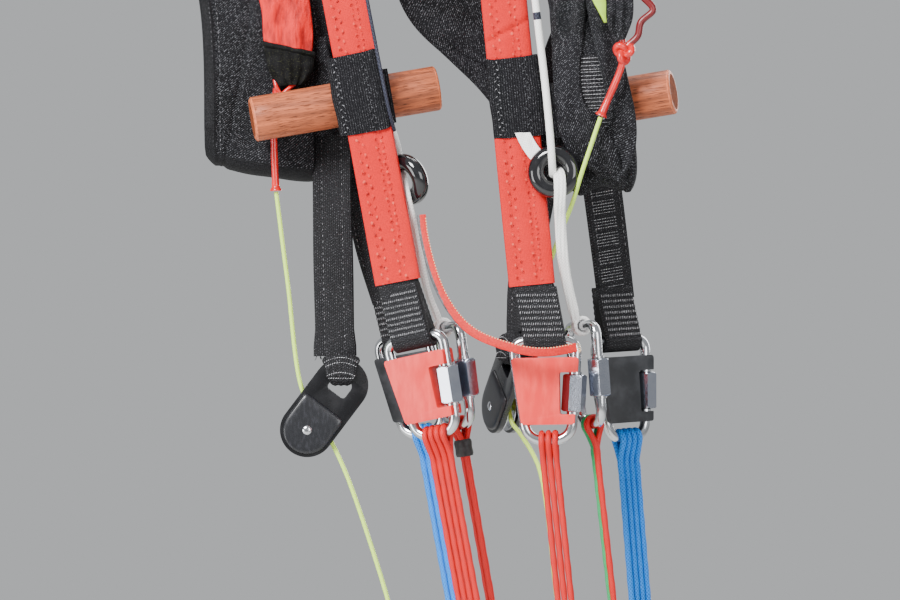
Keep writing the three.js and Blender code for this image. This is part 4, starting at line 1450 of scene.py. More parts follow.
def link_wire(side, name, link):
    matrix = link_place(link)
    shell = Shell()
    sides = bpy.context.scene.risers_hardware.sides
    shell.tube(moved(matrix, wire_line()), LINK["wire"], sides=sides, rounded=False)
    threads = matrix @ nut_place()
    for end in (-1, 1):
        z = end * (NUT["length"] / 2 + 0.55)
        collar = [(0, 0, z + t) for t in (-0.6, -0.45, 0.45, 0.6)]
        shell.tube(moved(threads, collar), [2.2, 2.55, 2.55, 2.2], sides=28, rounded=False)
    body = f"{side}_{name}_link"
    finished(f"{side}_{name}_wire", shell, [polished_steel()], [body], body)


# The chamfer of the nut's corners: radius past the flats, and height from the end
NUT_CHAMFER = ((-0.3, 0), (0.0, 0.15), (0.35, 0.35), (0.75, 0.7), (9, 1.3))


def link_nut(side, name, link):
    """The gate nut, with its corners chamfered at both ends."""
    matrix = link_place(link) @ nut_place() @ turned("Z", link["nut_turn"])
    half, inside = NUT["length"] / 2, NUT["flats"] / 2
    turn = round_angles(72)
    hexagon = inside / np.cos((turn + math.pi / 6) % (math.pi / 3) - math.pi / 6)
    rings = [(np.minimum(hexagon, inside + out), height - half) for out, height in NUT_CHAMFER]
    rings += [(radius, -z) for radius, z in rings[::-1]]
    bore = np.full_like(turn, LINK["wire"] + 0.25)
    rings = [(bore, -half + 2), (bore, -half), *rings, (bore, half), (bore, half - 2)]
    rows = [columns(r * np.cos(turn), r * np.sin(turn), z) for r, z in rings]
    rows = np.array([moved(matrix, row) for row in rows])
    across = np.linspace(0, TURN * inside, len(turn) + 1)
    shell = Shell()
    shell.grid(rows, across, np.append([z for _, z in rings], 0), closed=True)
    body, node = f"{side}_{name}_link", f"{side}_{name}_nut"
    finished(f"{side}_{name}_gate", shell, [nut_steel()], [node], body, crease=25)


def link_insert(side, name, link, material):
    thickness, top, bottom, notch = INSERT.values()
    over = LINK["wire"] / 2
    reach, right, left = LINK["top"] + over, LINK["right"] + over, LINK["left"] - over
    high, low = NUT["z"] + NUT["length"] / 2 + 0.9, NUT["z"] - NUT["length"] / 2 - 0.9

    def edge(z):
        return reach + (right - reach) * (z - top) / (bottom - top)

    corners = [(-reach, top), (reach, top), (edge(high), high), (notch, high), (notch, low), (edge(low), low)]
    corners += [(right, bottom), (left, bottom)]
    outline = rounded_corners(corners, [1.6, 1.6, 0.4, 1.0, 1.0, 0.4, 1.0, 1.6])
    shell = Shell()
    shell.slab(outline, thickness, link_place(link))
    body = f"{side}_{name}_link"
    finished(f"{side}_{name}_insert_block", shell, [material], [f"{side}_{name}_insert"], body, bevel=0.7)


def rounded_corners(corners, radii, steps=6):
    """An outline whose corners are rounded."""
    corners = np.asarray(corners, float)
    found = []
    for before, corner, after, radius in zip(np.roll(corners, 1, 0), corners, np.roll(corners, -1, 0), radii):
        start, end = (corner + unit(other - corner) * radius for other in (before, after))
        found.extend(bend(start, corner, end, steps))
    return np.array(found)


class RISERS_OT_links(bpy.types.Operator):
    """Builds the quick links with their gate nuts and moulded inserts"""

    bl_idname = "risers.links"
    bl_label = "Quick links"

    def execute(self, context):
        for side, row in SETS.items():
            for name, link in row["links"].items():
                link_wire(side, name, link)
                link_nut(side, name, link)
            link_insert(side, "front", row["links"]["front"], red_plastic())
            link_insert(side, "rear", row["links"]["rear"], dark_plastic())
        return {"FINISHED"}


def pulley(side):
    matrix = turned_plane(*SETS[side]["block"])
    radius, span, thickness, eye, slot, slot_top = BLOCK.values()
    cheek = (thickness - slot) / 2
    capsule = np.vstack([arc((0, 0), radius, 0, 180, 30), arc((0, -span), radius, 180, 360, 30)])
    hole = [(-eye, -eye * 0.95), (eye, -eye * 0.95), (eye, eye * 0.5), (0, eye * 1.05), (-eye, eye * 0.5)]
    hole = rounded_corners(hole, [1.6] * 5)
    inner = radius - 1.3
    raised = np.vstack([arc((0, -span), inner, 180, 360, 30), [(inner, -10.6), (-inner, -10.6)]])
    raised = rounded_corners(raised, [0.02] * 30 + [2.2, 2.2], 4)
    shell = Shell()
    for face in (-1, 1):
        middle = Matrix.Translation((0, face * (slot + cheek) / 2, 0))
        shell.slab(capsule, cheek, matrix @ middle, [hole])
        crowned(shell, raised, matrix, face, thickness / 2 - 0.2, 1.5)
    inner = radius - 0.4
    upper = np.vstack([arc((0, 0), inner, 0, 180, 30), [(-inner, slot_top), (inner, slot_top)]])
    shell.slab(upper, slot + 0.6, matrix, [hole])
    name = f"{side}_block_cheeks"
    # The raised faces take the plastic painted lighter for the light they catch.
    finishes = [black_plastic(), worn_plastic()]
    finished(name, shell, finishes, [f"{side}_pulley_block"], bevel=0.75, crease=42)
    rivet(side, matrix)
    sheave(side, matrix)


# The rounded edge of a raised face: share of its outline, and share of its rise
CROWN = ((1, 0), (1, 0.3), (0.988, 0.52), (0.96, 0.72), (0.91, 0.87), (0.82, 0.95), (0.6, 0.99), (0.04, 1))


def crowned(shell, outline, matrix, face, base, rise):
    """A raised face on a cheek, rounded towards its edge."""
    centre = outline.mean(axis=0)
    rows = []
    for share, lift in CROWN:
        flat = centre + (outline - centre) * share
        rows.append(columns(flat[:, 0], face * (base + rise * lift), flat[:, 1]))
    shell.grid(moved(matrix, rows), run_on(outline, 0.5), np.arange(len(rows)) * 1.2, finish=1)


# A rivet's head: radius and height
RIVET_HEAD = ((0.02, 0.75), (0.9, 0.7), (1.5, 0.5), (1.85, 0.2), (1.9, -0.4), (0.02, -0.4))


def rivet(side, matrix):
    """The heads of the axle, one in the middle of each cheek."""
    shell = Shell()
    out = BLOCK["thickness"] / 2 + 1.2
    for face in (-1, 1):
        turn = turned("X", 0 if face > 0 else 180)
        head = matrix @ Matrix.Translation((0, face * out, -BLOCK["span"])) @ turn
        shell.turned(RIVET_HEAD, head, 28)
    finished(f"{side}_block_rivet", shell, [polished_steel()])


def sheave(side, matrix):
    rim, root, bore, width = SHEAVE.values()
    half = width / 2
    steps = [math.radians(angle) for angle in range(0, 181, 15)]
    groove = [(rim - (rim - root) * math.sin(a) ** 1.2, -(half - 0.7) * math.cos(a)) for a in steps]
    profile = [(bore, -half), (rim - 0.4, -half), (rim, 0.4 - half), *groove]
    profile += [(rim, half - 0.4), (rim - 0.4, half), (bore, half)]
    shell = Shell()
    place_of_sheave = matrix @ Matrix.Translation((0, 0, -BLOCK["span"]))
    angle = round_angles(64)
    rings = np.array([[(r * math.cos(a), y, r * math.sin(a)) for a in angle] for r, y in profile])
    across = np.linspace(0, TURN * rim, len(angle) + 1)
    shell.grid(moved(place_of_sheave, rings), across, run_on(profile, 4), closed=True)
    body, node = f"{side}_sheave", f"{side}_pulley_sheave"
    finished(f"{side}_sheave_wheel", shell, [polished_steel()], [node], body)


class RISERS_OT_pulleys(bpy.types.Operator):
    """Builds the pulley blocks, their rivets and sheaves"""

    bl_idname = "risers.pulleys"
    bl_label = "Pulleys"

    def execute(self, context):
        for side in SETS:
            pulley(side)
        return {"FINISHED"}


def wooden_toggle(side):
    matrix = toggle_place(SETS[side]["toggle"]) @ turned("Z", -90)
    radius, half, chamfer, sides = TOGGLE["radius"], TOGGLE["length"] / 2, TOGGLE["chamfer"], 56
    barrel = [(radius, y) for y in np.linspace(chamfer - half, half - chamfer, 12)]
    end = [(radius - 0.35, half - 0.45), (radius - chamfer, half - 0.05), (radius - chamfer - 0.8, half)]
    end += [(3, half), (0.05, half)]
    shell = Shell()
    shell.turned([(r, -y) for r, y in end[::-1]] + barrel + end, matrix, sides)
    lying = toggle_place(SETS[side]["toggle"])

    def lengthened(points):
        points = moved(lying.inverted(), points)
        points[:, 0] += np.where(points[:, 0] < 0, *SETS[side]["toggle_ends"])
        return moved(lying, points)

    shell.moulded(lengthened)
    rows = len(shell.faces) // sides
    for face in range(len(shell.faces)):
        inwards = min(face // sides, rows - 1 - face // sides)
        shell.finishes[face] = 2 if inwards < 2 else 1 if inwards < len(end) else 0
    body, finishes = f"{side}_toggle", [toggle_wood(), toggle_edge(), end_grain()]
    finished(f"{side}_toggle_wood", shell, finishes, [f"{side}_toggle"], body, crease=50)


def guide_ring(side):
    turn = round_angles(80)
    circle = columns(np.cos(turn), 0, np.sin(turn)) * RING["radius"]
    shell = Shell()
    radial = unit(circle)
    angle = round_angles(32)
    section = columns(np.cos(angle), np.sin(angle)) * RING["section"]
    outwards = radial[:, None, :] * section[None, :, :1]
    rows = circle[:, None, :] + outwards + np.array([0, 1, 0]) * section[None, :, 1:]
    across = np.linspace(0, TURN * RING["section"], len(angle) + 1)
    along = np.linspace(0, TURN * RING["radius"], len(turn) + 1)
    shell.grid(moved(hanging(*SETS[side]["ring"]), rows), across, along, closed=True)
    finished(f"{side}_ring", shell, [ring_gloss()], [f"{side}_guide_ring"])


class RISERS_OT_toggles(bpy.types.Operator):
    """Builds the wooden toggles and the black guide rings"""

    bl_idname = "risers.toggles"
    bl_label = "Toggles and rings"

    def execute(self, context):
        for side in SETS:
            wooden_toggle(side)
            guide_ring(side)
        return {"FINISHED"}


# Handles


def strap_of(stations, width, step, window=9, across=None):
    """The middle line of a strap of many stations, its width, and the directions across and out."""
    rows = [(*station, width) if len(station) == 4 else station for station in stations]
    rows = softened(smooth_route(rows, step), window)
    return rows[:, :3], rows[:, 4], *strap_axes(rows[:, :3], rows[:, 3], across)


def left_handle():
    row = SETS["left"]
    points, own, wide, out = strap_of(row["handle"], row["handle_width"], 1.1, across=True)
    run = run_of(points)
    fold = run[np.argmin(points[:, 2])]

    def relief(x, along):
        crown = 0.4 * (1 - (np.abs(x) / 22) ** 4)
        binding = 0.4 * ramp(-17.3 - x, 0.6)
        binding = binding + 0.5 * ramp(6.2 - np.abs(along - fold), 0.8)
        pleat = -0.9 * ridge(x + 1.7 + (along - 56) * 0.18, 1.0)
        seam = -0.45 * ridge(x + 16.4, 0.7) - 0.3 * ridge(along - 21, 0.6) * (x < 2)
        cloth = 0.3 * np.sin(along / 9 + x / 7) + 0.14 * np.sin(along / 4.1 - x / 3.2)
        return crown + binding + pleat + seam + cloth

    shell = Shell()
    shell.band(points, wide, out, own, 2.6, relief, samples=64, roundness=7)
    for face, corners in enumerate(shell.uvs):
        across, along = np.mean(corners, axis=0)
        shell.finishes[face] = int(across < -17.2 or abs(along - fold) < 6)
    shell.moulded(lower_hem)
    flap, breadth, across, front = strap_of(row["handle_flap"], 12, 1.1, across=True)
    shell.band(flap, across, front, breadth, 0.8, lambda x, along: 0.3 * np.sin(along / 6 + x / 3), samples=16)
    finishes = [pad_cloth(), edge_tape()]
    handle = finished("left_handle_pad", shell, finishes, ["left_brake_handle"])
    front = (run > 3) & (run < fold - 8)
    for name, offset, thread in (("inner", -15.7, thread_of("dull")), ("outer", -18.6, thread_of("dark"))):
        line = lower_hem(points[front] + wide[front] * offset + out[front] * 2.95)
        stitched(f"left_handle_{name}_stitches", [(line, out[front])], thread, STITCHES["left handle"])


def lower_hem(points):
    """Lets the lower edge of the left handle fall to the right and rounds its left corner."""
    points = np.array(points, float)
    low = ramp(72 - points[:, 2], 16)
    low = low * low * (3 - 2 * low)
    points[:, 2] += (2 - (points[:, 0] + 80) * 0.17) * low
    corner = ramp(-92 - points[:, 0], 8) ** 2
    points[:, 2] += corner * 4.5 * low
    return points


def left_neck():
    """The red cloth neck, and below its bound edge the bag that gathers to the strings."""
    row = SETS["left"]
    points, own, wide, out = strap_of(row["neck"], 20, 0.7)
    run = run_of(points)
    split = np.argmin(np.abs(points[:, 2] - 101.4))

    def wrinkles(x, along):
        folds = 0.5 * np.sin(x / 1.5 + along / 26) * np.sin(along / 17 + 0.6)
        creases = 0.35 * np.sin(along / 3.4 + x / 2.6) * ridge(along - run[split] + 14, 14)
        return folds + creases + 0.5 * (1 - (x / 10) ** 2)

    cloth = Shell()
    shown = slice(0, split + 1)
    cloth.band(points[shown], wide[shown], out[shown], own[shown], 1.9, wrinkles, samples=48)
    cloth.moulded(slanted_edge)
    finished("left_neck_cloth", cloth, [red_neck()], ["left_handle_neck"])
    t = np.linspace(0, 1, 26)
    middle = columns(-64.9 + 0.8 * t, 24.3 - 0.2 * t, 101.6 - 15 * t)
    width = 20.4 * np.sqrt(1 - (0.88 * t) ** 2.2)
    wide, out = strap_axes(middle, 0)
    length = run_of(middle)

    def gathers(x, along):
        depth = 0.16 + 0.3 * np.interp(along, length, t)
        share = x / (np.interp(along, length, width) / 2)
        return depth * np.cos(share * 15 + 0.6) + 0.12 * np.sin(along * 1.7 + 5 * share)

    bag = Shell()
    bag.band(middle, wide, out, width, 1.8 + 1.3 * np.sin(math.pi * 0.75 * t), gathers, samples=60, roundness=3)
    edge = middle[0] + np.outer(np.linspace(-10.2, 10.2, 30), wide[0]) + (0, -2.1, -0.4)
    bag.tube(edge, 1.0, sides=12)
    bag.moulded(slanted_edge)
    finished("left_neck_bag", bag, [gathered_knit()])
    strings = Shell()
    for route in SETS["left"]["strings"]:
        strings.tube(smooth_route(route, 0.6), 0.9, sides=14)
    finished("left_neck_strings", strings, [glossy_sheath()])


def slanted_edge(points):
    """Slants what lies near the lower edge of the left neck's cloth."""
    points = np.array(points, float)
    near = ramp(122 - points[:, 2], 18) * ramp(points[:, 2] - 87, 11)
    points[:, 2] -= 0.26 * (points[:, 0] + 64.8) * near
    return points


@once
def gathered_knit(f):
    """Fine black knit that glints olive on the crests of its gathers."""
    knit = f.weave(0.6)
    yarn = f.noise(0.3, 3.0)
    glint = f.times(f.between(yarn, 0.55, 0.72), f.between(knit, 0.2, 0.7))
    colour = f.blotched(5, 2.0, 0.3, 0.7, (0.002, 0.002, 0.002), (0.008, 0.008, 0.009))
    colour = f.mixed(glint, colour, (0.16, 0.17, 0.08))
    return f.done(colour, 0.8, knit, 0.15, specular=0.15)


@once
def red_neck(f):
    """Thin red cloth of the left handle's neck, crossed by creases with painted shade in them."""
    red = chosen("fabric", "red")
    weave = f.weave(0.55)
    folds = f.noise(2.6, 3.0, stretch=(1, 1, 0.35))
    # Painted shade: the colour darkens where the fold noise sinks the bump, in the creases.
    colour = f.mixed(f.between(folds, 0.3, 0.62), shade(red, 0.6), shade(red, 1.2))
    height = f.plus(f.times(weave, 0.3), f.times(folds, 3.0))
    return f.done(colour, 0.62, height, 0.3, specular=0.35)


# Creases of the right handle: place along it, place across, lean and depth
HANDLE_CREASES = ((96, -3, 0.35, 1.3), (118, 4, -0.3, 1.2), (150, 0, 0.25, 1.2), (196, 2, -0.35, 1.3))


def right_handle():
    """The open loop, crumpled in front of the toggle: two folds, and ribbed webbing between them."""
    row = SETS["right"]
    points, own, wide, out = strap_of(row["handle"], row["handle_width"], 1.1, across=True)

    def relief(x, along):
        crown = 0.5 * (1 - (np.abs(x) / 10.5) ** 4)
        seams = -0.6 * ridge(np.abs(x) - 7.6, 0.55)
        crumple = 0.55 * np.sin(along / 6.3 + x / 3.1) * np.sin(along / 15 + 1.1)
        crumple = crumple + 0.3 * np.sin(along / 3.1 - x / 2.2)
        creases = 0
        for at, start, lean, depth in HANDLE_CREASES:
            across_it = ridge(x - start - (along - at) * lean, 0.7)
            creases = creases - depth * across_it * ridge(along - at, 15)
        return crown + seams + crumple + creases

    def folds(x, along):
        long = 0.9 * np.cos(x * TURN / 8.6 + along / 17) * np.sin(along / 23 + 0.5)
        cross = 0.6 * np.sin(along / 4.7 + x / 2.1) * np.sin(along / 11 + 0.8)
        return long + (cross + 0.3 * np.sin(along / 2.3 - x / 1.7))

    shell = Shell()
    shell.band(points, wide, out, own, 2.5, relief, samples=48)
    for stations in row["handle_folds"]:
        fold, breadth, across, front = strap_of(stations, 12, 0.9, across=True)
        shell.band(fold, across, front, breadth, 1.7, folds, samples=40, roundness=3)
    handle = finished("right_handle_pad", shell, [pad_cloth()], ["right_brake_handle"])
    shown = slice(0, int(np.argmax(points[:, 0] > 58)))
    guides = strap_lines(points[shown], wide[shown], out[shown], (-8.6, 8.6), 2.4, (3, 3))
    stitched("right_handle_stitches", guides, thread_of("dark"), STITCHES["right handle"])
    rows = even_route(row["handle_ribs"], 0.5)
    wide, out = strap_axes(rows[:, :3], rows[:, 3], across=True)
    shell = Shell()

    def ribs(x, along):
        return 0.2 * np.cos(along * TURN / RIB_PITCH)

    shell.band(rows, wide, out, 12.6, 0.9, ribs, samples=20)
    finished("right_handle_webbing", shell, [black_webbing()])
    cross_stitches("right_handle_webbing_ribs", rows, wide, out, (-5.4, 5.8), 1.05)


def cross_stitches(name, rows, wide, out, reach, lift):
    """Rows of thread across a strap, between two places from its middle."""
    run = run_of(rows)
    guides = []
    for at in np.arange(RIB_PITCH, run[-1], RIB_PITCH):
        i = int(np.argmin(np.abs(run - at)))
        across = np.linspace(*reach, 8)[:, None]
        guides.append((rows[i, :3] + wide[i] * across + out[i] * lift, out[i]))
    stitched(name, guides, thread_of("end"), STITCHES["cross row"], slant=0.12)


def right_neck():
    row = SETS["right"]
    points, own, wide, out = strap_of(row["neck"], 10, 0.7, 5)

    def gathers(x, along):
        return 0.75 * np.cos(x * TURN / 4.1 + along / 12) + 0.3 * np.sin(along / 2.2 + x / 2)

    shell = Shell()
    shell.band(points, wide, out, own, 1.9, gathers, samples=36)
    finished("right_neck_cloth", shell, [pad_cloth()], ["right_handle_neck"])
    points, own, wide, out = strap_of(row["tip"], 9, 0.7, 5)
    tip = Shell()
    tip.band(points, wide, out, own, 0.6, lambda x, along: 0.5 * np.cos(x / 2.2), samples=24)
    finished("right_neck_lining", tip, [neon_cloth()], ["right_neck_tip"])


class RISERS_OT_handles(bpy.types.Operator):
    """Builds the padded brake handles and their necks"""

    bl_idname = "risers.handles"
    bl_label = "Brake handles"

    def execute(self, context):
        left_handle()
        left_neck()
        right_handle()
        right_neck()
        return {"FINISHED"}


# Cords


def brake_cords(side):
    row = SETS[side]
    route = smooth_route(row["sheath"], 0.5)
    run = run_of(route)
    flare = ramp(run - run[-1] + 7, 7)
    lip = ramp(run - run[-1] + 1.3, 0.5)
    shell = Shell()
    shell.tube(route, 1.4 + 0.3 * flare + 0.6 * lip + 0.05 * np.sin(run / 2.1), sides=20, rounded=False)
    if "knot" in row:
        overhand_knot(shell, row["knot"])
    middle = np.array([np.mean([shell.points[i] for i in face], axis=0) for face in shell.faces])
    if side == "right":
        # Painted shade: the loop above the knot, right of 71.5 and above 102 millimetres, takes the dark maroon
        # finish.
        shell.finishes = [int(x > 71.5 and z > 102) for x, _, z in middle]
    finishes = [glossy_sheath(), dark_sheath()]
    finished(f"{side}_sheath", shell, finishes, [f"{side}_brake_sheath"])
    line = Shell()
    line.tube(smooth_route(row["brake_route"], 0.8), 0.9, sides=14, rounded=False)
    line_eye(line, row["brake_route"][-1], 0.9)
    finished(f"{side}_control_line", line, [bright_line()], [f"{side}_brake_line"])


def overhand_knot(shell, at):
    """A tight trefoil knot of the sheath."""
    t = round_angles(90)
    x, z = np.sin(t) + 2 * np.sin(2 * t), np.cos(t) - 2 * np.cos(2 * t)
    y = -np.sin(3 * t)
    points = columns(x, y * 1.3, z * 1.15) * 1.12 + at
    shell.tube(points, 1.45, sides=14, closed=True)
    shell.tube([np.add(at, (-0.6, 0, 10)), np.add(at, (-0.8, 0, 6)), np.add(at, (-0.4, 0, 2))], 1.35, sides=14)


def line_eye(shell, end, radius):
    """The sewn eye at the lower end of a line."""
    turn = round_angles(28)
    ring = columns(np.cos(turn), 0, np.sin(turn)) * 2 * radius
    shell.tube(np.array(end) + ring - (0, 0, 2 * radius), 0.7 * radius, sides=10, closed=True)


def speed_cord(side):
    """The thin cord above the ring: dark on the left set, white with a dark mark on the right one."""
    route = smooth_route(SETS[side]["speed_route"], 1.0)
    height = route[:, 2]
    if side == "left":
        radius, dark = 0.72 + 0.45 * ramp(70 - height, 8), height > 68
    else:
        radius, dark = np.full(len(route), 1.5), (height > 112.8) & (height < 115.2)
    shell = Shell()
    changes = [0, *(np.flatnonzero(np.diff(dark.astype(int))) + 1), len(route) - 1]
    for a, b in zip(changes, changes[1:]):
        finish = int(dark[(a + b) // 2])
        shell.tube(route[a : b + 1], radius[a : b + 1], sides=16, finish=finish, rounded=False)
    finishes = [braid("white"), braid("dark")]
    finished(f"{side}_thin_cord", shell, finishes, [f"{side}_speed_cord"])


def turns_of_cord(shell, matrix, reach, offsets, radius):
    """Closed turns of cord round a bar along X."""
    turn = round_angles(40)
    for offset in offsets:
        circle = columns(offset, np.cos(turn) * reach, np.sin(turn) * reach)
        shell.tube(moved(matrix, circle), radius, sides=14, closed=True)


def tether(side):
    """The flat white braid that comes out of the guide ring over its lower rim and holds the third link."""
    row = SETS[side]
    route = softened(smooth_route(row["tether_route"], 0.6), 5)
    run = run_of(route)
    wide, out = strap_axes(route, row["ring"][2])

    def relief(x, along):
        return 0.12 * np.cos(x * TURN / 1.5 + along / 4) - 0.22 * ridge(x, 0.5)

    shell = Shell()
    share = run / run[-1]
    pinch = 1.2 * ramp(share - 0.93, 0.07)
    own = row["tether_width"] - 0.7 * share - pinch + 0.12 * np.sin(run / 5)
    shell.band(route, wide, out, own, 1.0 + 0.35 * share, relief, samples=26, roundness=2.6)
    matrix = link_place(row["links"]["third"])
    turns_of_cord(shell, matrix, LINK["wire"] + 1.1, (-1.0, 1.0), 0.85)
    finished(f"{side}_flat_braid", shell, [braid("white")], [f"{side}_tether"])


def ring_tab(side):
    """The white tab beside the ring. Its upper end is tucked under the keeper's lower edge."""
    points, own, wide, out = strap_of(SETS[side]["tab"], 5.8, 0.5, 5)

    def relief(x, along):
        return 0.3 * np.cos(x * 1.5 + along / 3) * np.sin(along / 2.2)

    shell = Shell()
    shell.band(points, wide, out, own, 0.5, relief, samples=24)
    shell.points = [(x, y, min(z, TAB_TOP)) for x, y, z in shell.points]
    finished(f"{side}_tab", shell, [braid("white")], [f"{side}_ring_tab"])


def red_ribbon():
    """The free ribbon from the left tether to the foot of the right one."""
    rows = softened(smooth_route(RIBBON_ROUTE, 0.9), 5)
    wide, out = strap_axes(rows, 0)
    shell = Shell()

    def relief(x, along):
        return 0.1 * (1 - (x / 1.8) ** 2) + 0.03 * np.sin(along / 2)

    shell.band(rows, wide, out, RIBBON["width"], RIBBON["thickness"] / 2, relief, samples=18)
    # Painted shade: a dark band along one edge of the ribbon's upper part, in the dark thread's colour, stands
    # in for the shade on that side.
    for face, corners in enumerate(shell.uvs):
        across, along = np.mean(corners, axis=0)
        shell.finishes[face] = int(across < min(1.15, (52 - along) / 20) - RIBBON["width"] / 2)
    chance = np.random.default_rng(5)
    for offset in chance.uniform(-0.45, 0.45, 9) * RIBBON["width"]:
        start = rows[-1] + wide[-1] * offset
        tip = start + (chance.uniform(0.8, 1.9), chance.uniform(-0.5, 0.5), chance.uniform(-0.9, 0.9))
        bend = (start + tip) / 2 + (0, 0, 0.2)
        shell.tube([start, bend, tip], 0.09, sides=5, finish=2, rounded=False)
    finishes = [ribbon_cloth(), thread_of("dark"), pale_thread()]
    ribbon = finished("hanging_ribbon", shell, finishes, ["red_ribbon"])
    edge = strap_lines(columns(*rows.T, 0), wide, out, (1.62,), 0.4, (1, 1))
    thread = stitched("hanging_ribbon_edge", edge, pale_thread(), STITCHES["ribbon"], turn=0.3)
    path = place(rows)
    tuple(path[0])
    float(run_of(path)[-1])


@once
def ribbon_cloth(f):
    """Plain red ribbon with a fine weave."""
    weave = f.weave(0.5)
    yarn = f.noise(0.8)
    colour = f.mixed(f.between(yarn, 0.3, 0.75), (0.5, 0.006, 0.005), (0.68, 0.014, 0.01))
    return f.done(colour, 0.5, weave, 0.05, specular=0.3)


@once
def pale_thread(f):
    """Bright orange-yellow edge thread."""
    colour = f.mixed(f.noise(2.0), (0.95, 0.5, 0.2), (1.0, 0.85, 0.5))
    return f.done(colour, 0.5, f.noise(0.2, 1.0), 0.02)


class RISERS_OT_cords(bpy.types.Operator):
    """Builds the ribbon, the brake lines with their sheaths, the speed cords, tabs and tethers"""

    bl_idname = "risers.cords"
    bl_label = "Cords"

    def execute(self, context):
        red_ribbon()
        for side in SETS:
            brake_cords(side)
            speed_cord(side)
            ring_tab(side)
            tether(side)
        return {"FINISHED"}


def link_lines(side, name, link, finishes):
    """The lines of a link, each looped over the foot of the wire."""
    matrix = link_place(link)
    middle = (LINK["left"] + LINK["right"]) / 2
    slope = math.tan(math.radians(link["line_lean"]))
    count = link["lines"]
    drop, reach = -LINK["drop"], LINK["wire"] + LINE * 0.85
    turn = np.radians(np.linspace(205, -25, 18))
    shell = Shell()
    for i in range(count):
        offset = (i - (count - 1) / 2) * LINE_PITCH
        x = middle + offset
        over = [(x, reach * math.cos(a), drop + reach * math.sin(a)) for a in turn]
        loop = moved(matrix, over)
        start = moved(matrix, [(x, 0, drop - LINK["wire"] - LINE - 0.3)])[0]
        run = start[2] - LINE_END
        end = (start[0] + run * slope, start[1], LINE_END)
        direction = unit(np.array(end) - start)
        merge = start + direction * 13
        front, back = start + direction * 5 + (0, -0.35, 0), start + direction * 6 + (0, 0.5, 0)
        strand = np.vstack([[end, start + direction * 30, merge, front], loop, [back, merge]])
        finish = i if len(finishes) > 1 else 0
        route = smooth_route(strand, 0.8)
        own = LINE - 0.07 * np.sin(run_of(route) / 1.5 + i)
        shell.tube(route, own, sides=14, finish=finish, rounded=False)
        line_eye(shell, end, LINE)
    body = f"{side}_{name}_link"
    finished(f"{side}_{name}_strands", shell, finishes, [f"{side}_{name}_lines"], body)


# The rubber band: reach round the lines, and depth below its top
BAND_RINGS = ((1.6, 0), (2.6, 0.2), (2.95, 1.2), (2.75, 3.5), (2.95, 5.8), (2.6, 6.8), (1.6, 7))


def line_band(side, link):
    """The rubber band round the lines below the foot of the third link."""
    matrix = link_place(link)
    half = (link["lines"] - 1) * LINE_PITCH / 2
    top = -LINK["drop"] - LINK["wire"] - 2 * LINE - 0.9
    centre = (LINK["left"] + LINK["right"]) / 2
    turn = round_angles(48)
    shell = Shell()
    rings = []
    for reach, z in BAND_RINGS:
        x = np.clip(np.cos(turn) * 4, -1, 1) * half + np.cos(turn) * reach
        rings.append(columns(centre + x, np.sin(turn) * reach, top - z))
    rows = [moved(matrix, ring) for ring in rings]
    shell.grid(rows, run_on(rings[1], 0.3), np.arange(8) * 1.4, closed=True)
    finished(f"{side}_rubber_band", shell, [rubber()], [f"{side}_third_band"], f"{side}_third_link")


@once
def rubber(f):
    """Dull black rubber."""
    dust = f.noise(1.6, 3.0)
    colour = f.mixed(f.between(dust, 0.4, 0.75), (0.01, 0.01, 0.011), (0.04, 0.04, 0.042))
    return f.done(colour, 0.62, dust, 0.03)


class RISERS_OT_lines(bpy.types.Operator):
    """Builds the suspension lines on the quick links"""

    bl_idname = "risers.lines"
    bl_label = "Lines"

    def execute(self, context):
        for side, row in SETS.items():
            link_lines(side, "front", row["links"]["front"], [braid("red")])
            link_lines(side, "rear", row["links"]["rear"], [braid("blue")])
            third = [braid("green"), braid("red")] if side == "right" else [braid("red")]
            link_lines(side, "third", row["links"]["third"], third)
        line_band("left", SETS["left"]["links"]["third"])
        return {"FINISHED"}


# Stage

# Area lights: place from the middle of the view in metres (right, away, up), size and power
LIGHTS = {
    "key": ((-1.0, -1.7, 1.3), 0.8, 112),
    "side": ((-1.9, -1.0, -0.3), 0.9, 22),
    "fill": ((1.0, -1.7, 0.2), 1.0, 18),
    "top": ((0.2, 0.4, 1.6), 1.0, 26),
    "rim": ((0.9, 1.5, 0.5), 1.0, 20),
}
SENSOR = 36
CLIP_END = 100
FLOOR_RADIUS, FLOOR_HEIGHT = 14, -1.35
SKY, SKY_STRENGTH = (0.86, 0.88, 0.9, 1), 0.56


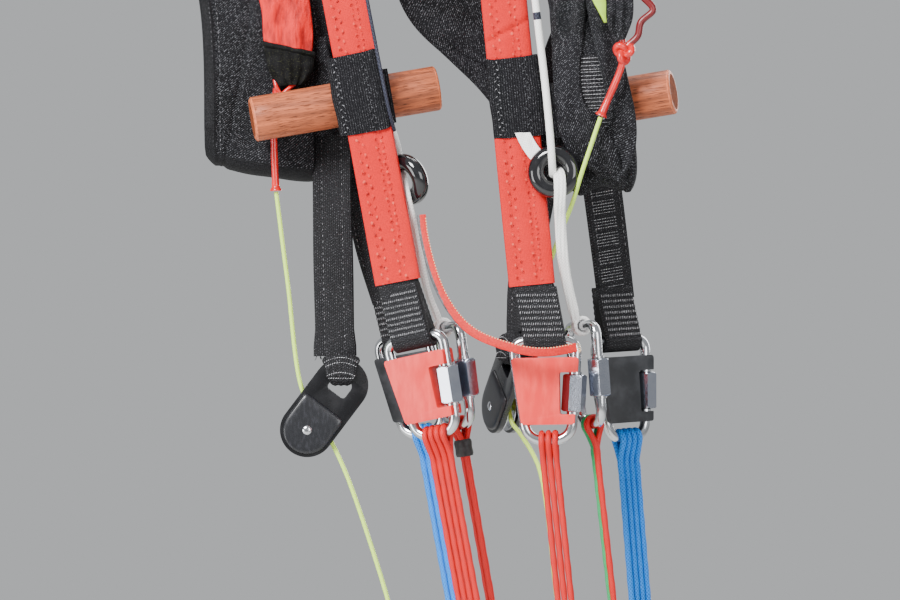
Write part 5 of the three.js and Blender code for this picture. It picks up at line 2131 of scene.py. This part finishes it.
class RISERS_OT_stage(bpy.types.Operator):
    """Sets up the camera, the soft lights and the pale floor"""

    bl_idname = "risers.stage"
    bl_label = "Camera, lights and floor"

    def execute(self, context):
        scene, stage = context.scene, context.scene.risers_stage
        middle = Vector(place((0, 0, 0)))
        camera = added("Camera", bpy.data.cameras.new("Camera"))
        camera.data.sensor_width = SENSOR
        camera.data.lens = SENSOR * stage.distance / stage.width
        camera.data.clip_end = CLIP_END
        camera.location = middle + Vector((0, -stage.distance, 0))
        camera.rotation_euler = (math.pi / 2, 0, 0)
        scene.camera = camera
        for name, (offset, size, power) in LIGHTS.items():
            light = added(name, bpy.data.lights.new(name, "AREA"))
            light.data.size = size
            light.data.energy = power * stage.light
            light.location = middle + Vector(offset)
            light.rotation_euler = (middle - light.location).to_track_quat("-Z", "Y").to_euler()
        floor = added("Floor", bpy.data.meshes.new("Floor"))
        turn = round_angles(96)
        ring = columns(np.cos(turn), np.sin(turn), 0) * FLOOR_RADIUS + middle
        ring[:, 2] = FLOOR_HEIGHT
        floor.data.from_pydata(ring.tolist(), [], [tuple(range(len(ring)))])
        floor.data.materials.append(floor_paint())
        floor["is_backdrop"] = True
        world = bpy.data.worlds.new("Studio")
        world.use_nodes = True
        background = world.node_tree.nodes["Background"]
        background.inputs["Color"].default_value = SKY
        background.inputs["Strength"].default_value = SKY_STRENGTH * stage.light
        scene.world = world
        return {"FINISHED"}


@once
def floor_paint(f):
    """Pale matt studio floor."""
    floor = tuple(bpy.context.scene.risers_stage.floor)
    tone = f.noise(400, 3.0)
    return f.done(f.mixed(tone, shade(floor, 0.97), shade(floor, 1.03)), 0.9)


OPERATORS = (
    RISERS_OT_stage,
    RISERS_OT_cords,
    RISERS_OT_webbing,
    RISERS_OT_links,
    RISERS_OT_pulleys,
    RISERS_OT_toggles,
    RISERS_OT_handles,
    RISERS_OT_lines,
)


class RISERS_PT_panel(bpy.types.Panel):
    bl_idname = "RISERS_PT_panel"
    bl_label = "Risers"
    bl_space_type = "VIEW_3D"
    bl_region_type = "UI"
    bl_category = "Risers"

    def draw(self, context):
        layout, scene = self.layout, context.scene
        for group in (scene.risers_fabric, scene.risers_hardware, scene.risers_stage):
            box = layout.box()
            for label in group.__annotations__:
                box.prop(group, label)
        for operator in OPERATORS:
            layout.operator(operator.bl_idname)


GROUPS = {"risers_fabric": RisersFabric, "risers_hardware": RisersHardware, "risers_stage": RisersStage}


def register():
    for group in GROUPS.values():
        bpy.utils.register_class(group)
    for label, group in GROUPS.items():
        setattr(bpy.types.Scene, label, PointerProperty(type=group))
    for operator in (*OPERATORS, RISERS_PT_panel):
        bpy.utils.register_class(operator)


def unregister():
    for operator in (RISERS_PT_panel, *reversed(OPERATORS)):
        bpy.utils.unregister_class(operator)
    for label in GROUPS:
        delattr(bpy.types.Scene, label)
    for group in reversed(GROUPS.values()):
        bpy.utils.unregister_class(group)


def plain(bounds):
    return [[float(value) for value in corner] for corner in bounds]


def main():
    register()
    for operator in OPERATORS:
        family, label = operator.bl_idname.split(".")
        getattr(getattr(bpy.ops, family), label)()
    {"cad": plain(cad_bounds), "visual": plain(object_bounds())}


if __name__ == "__main__":
    main()
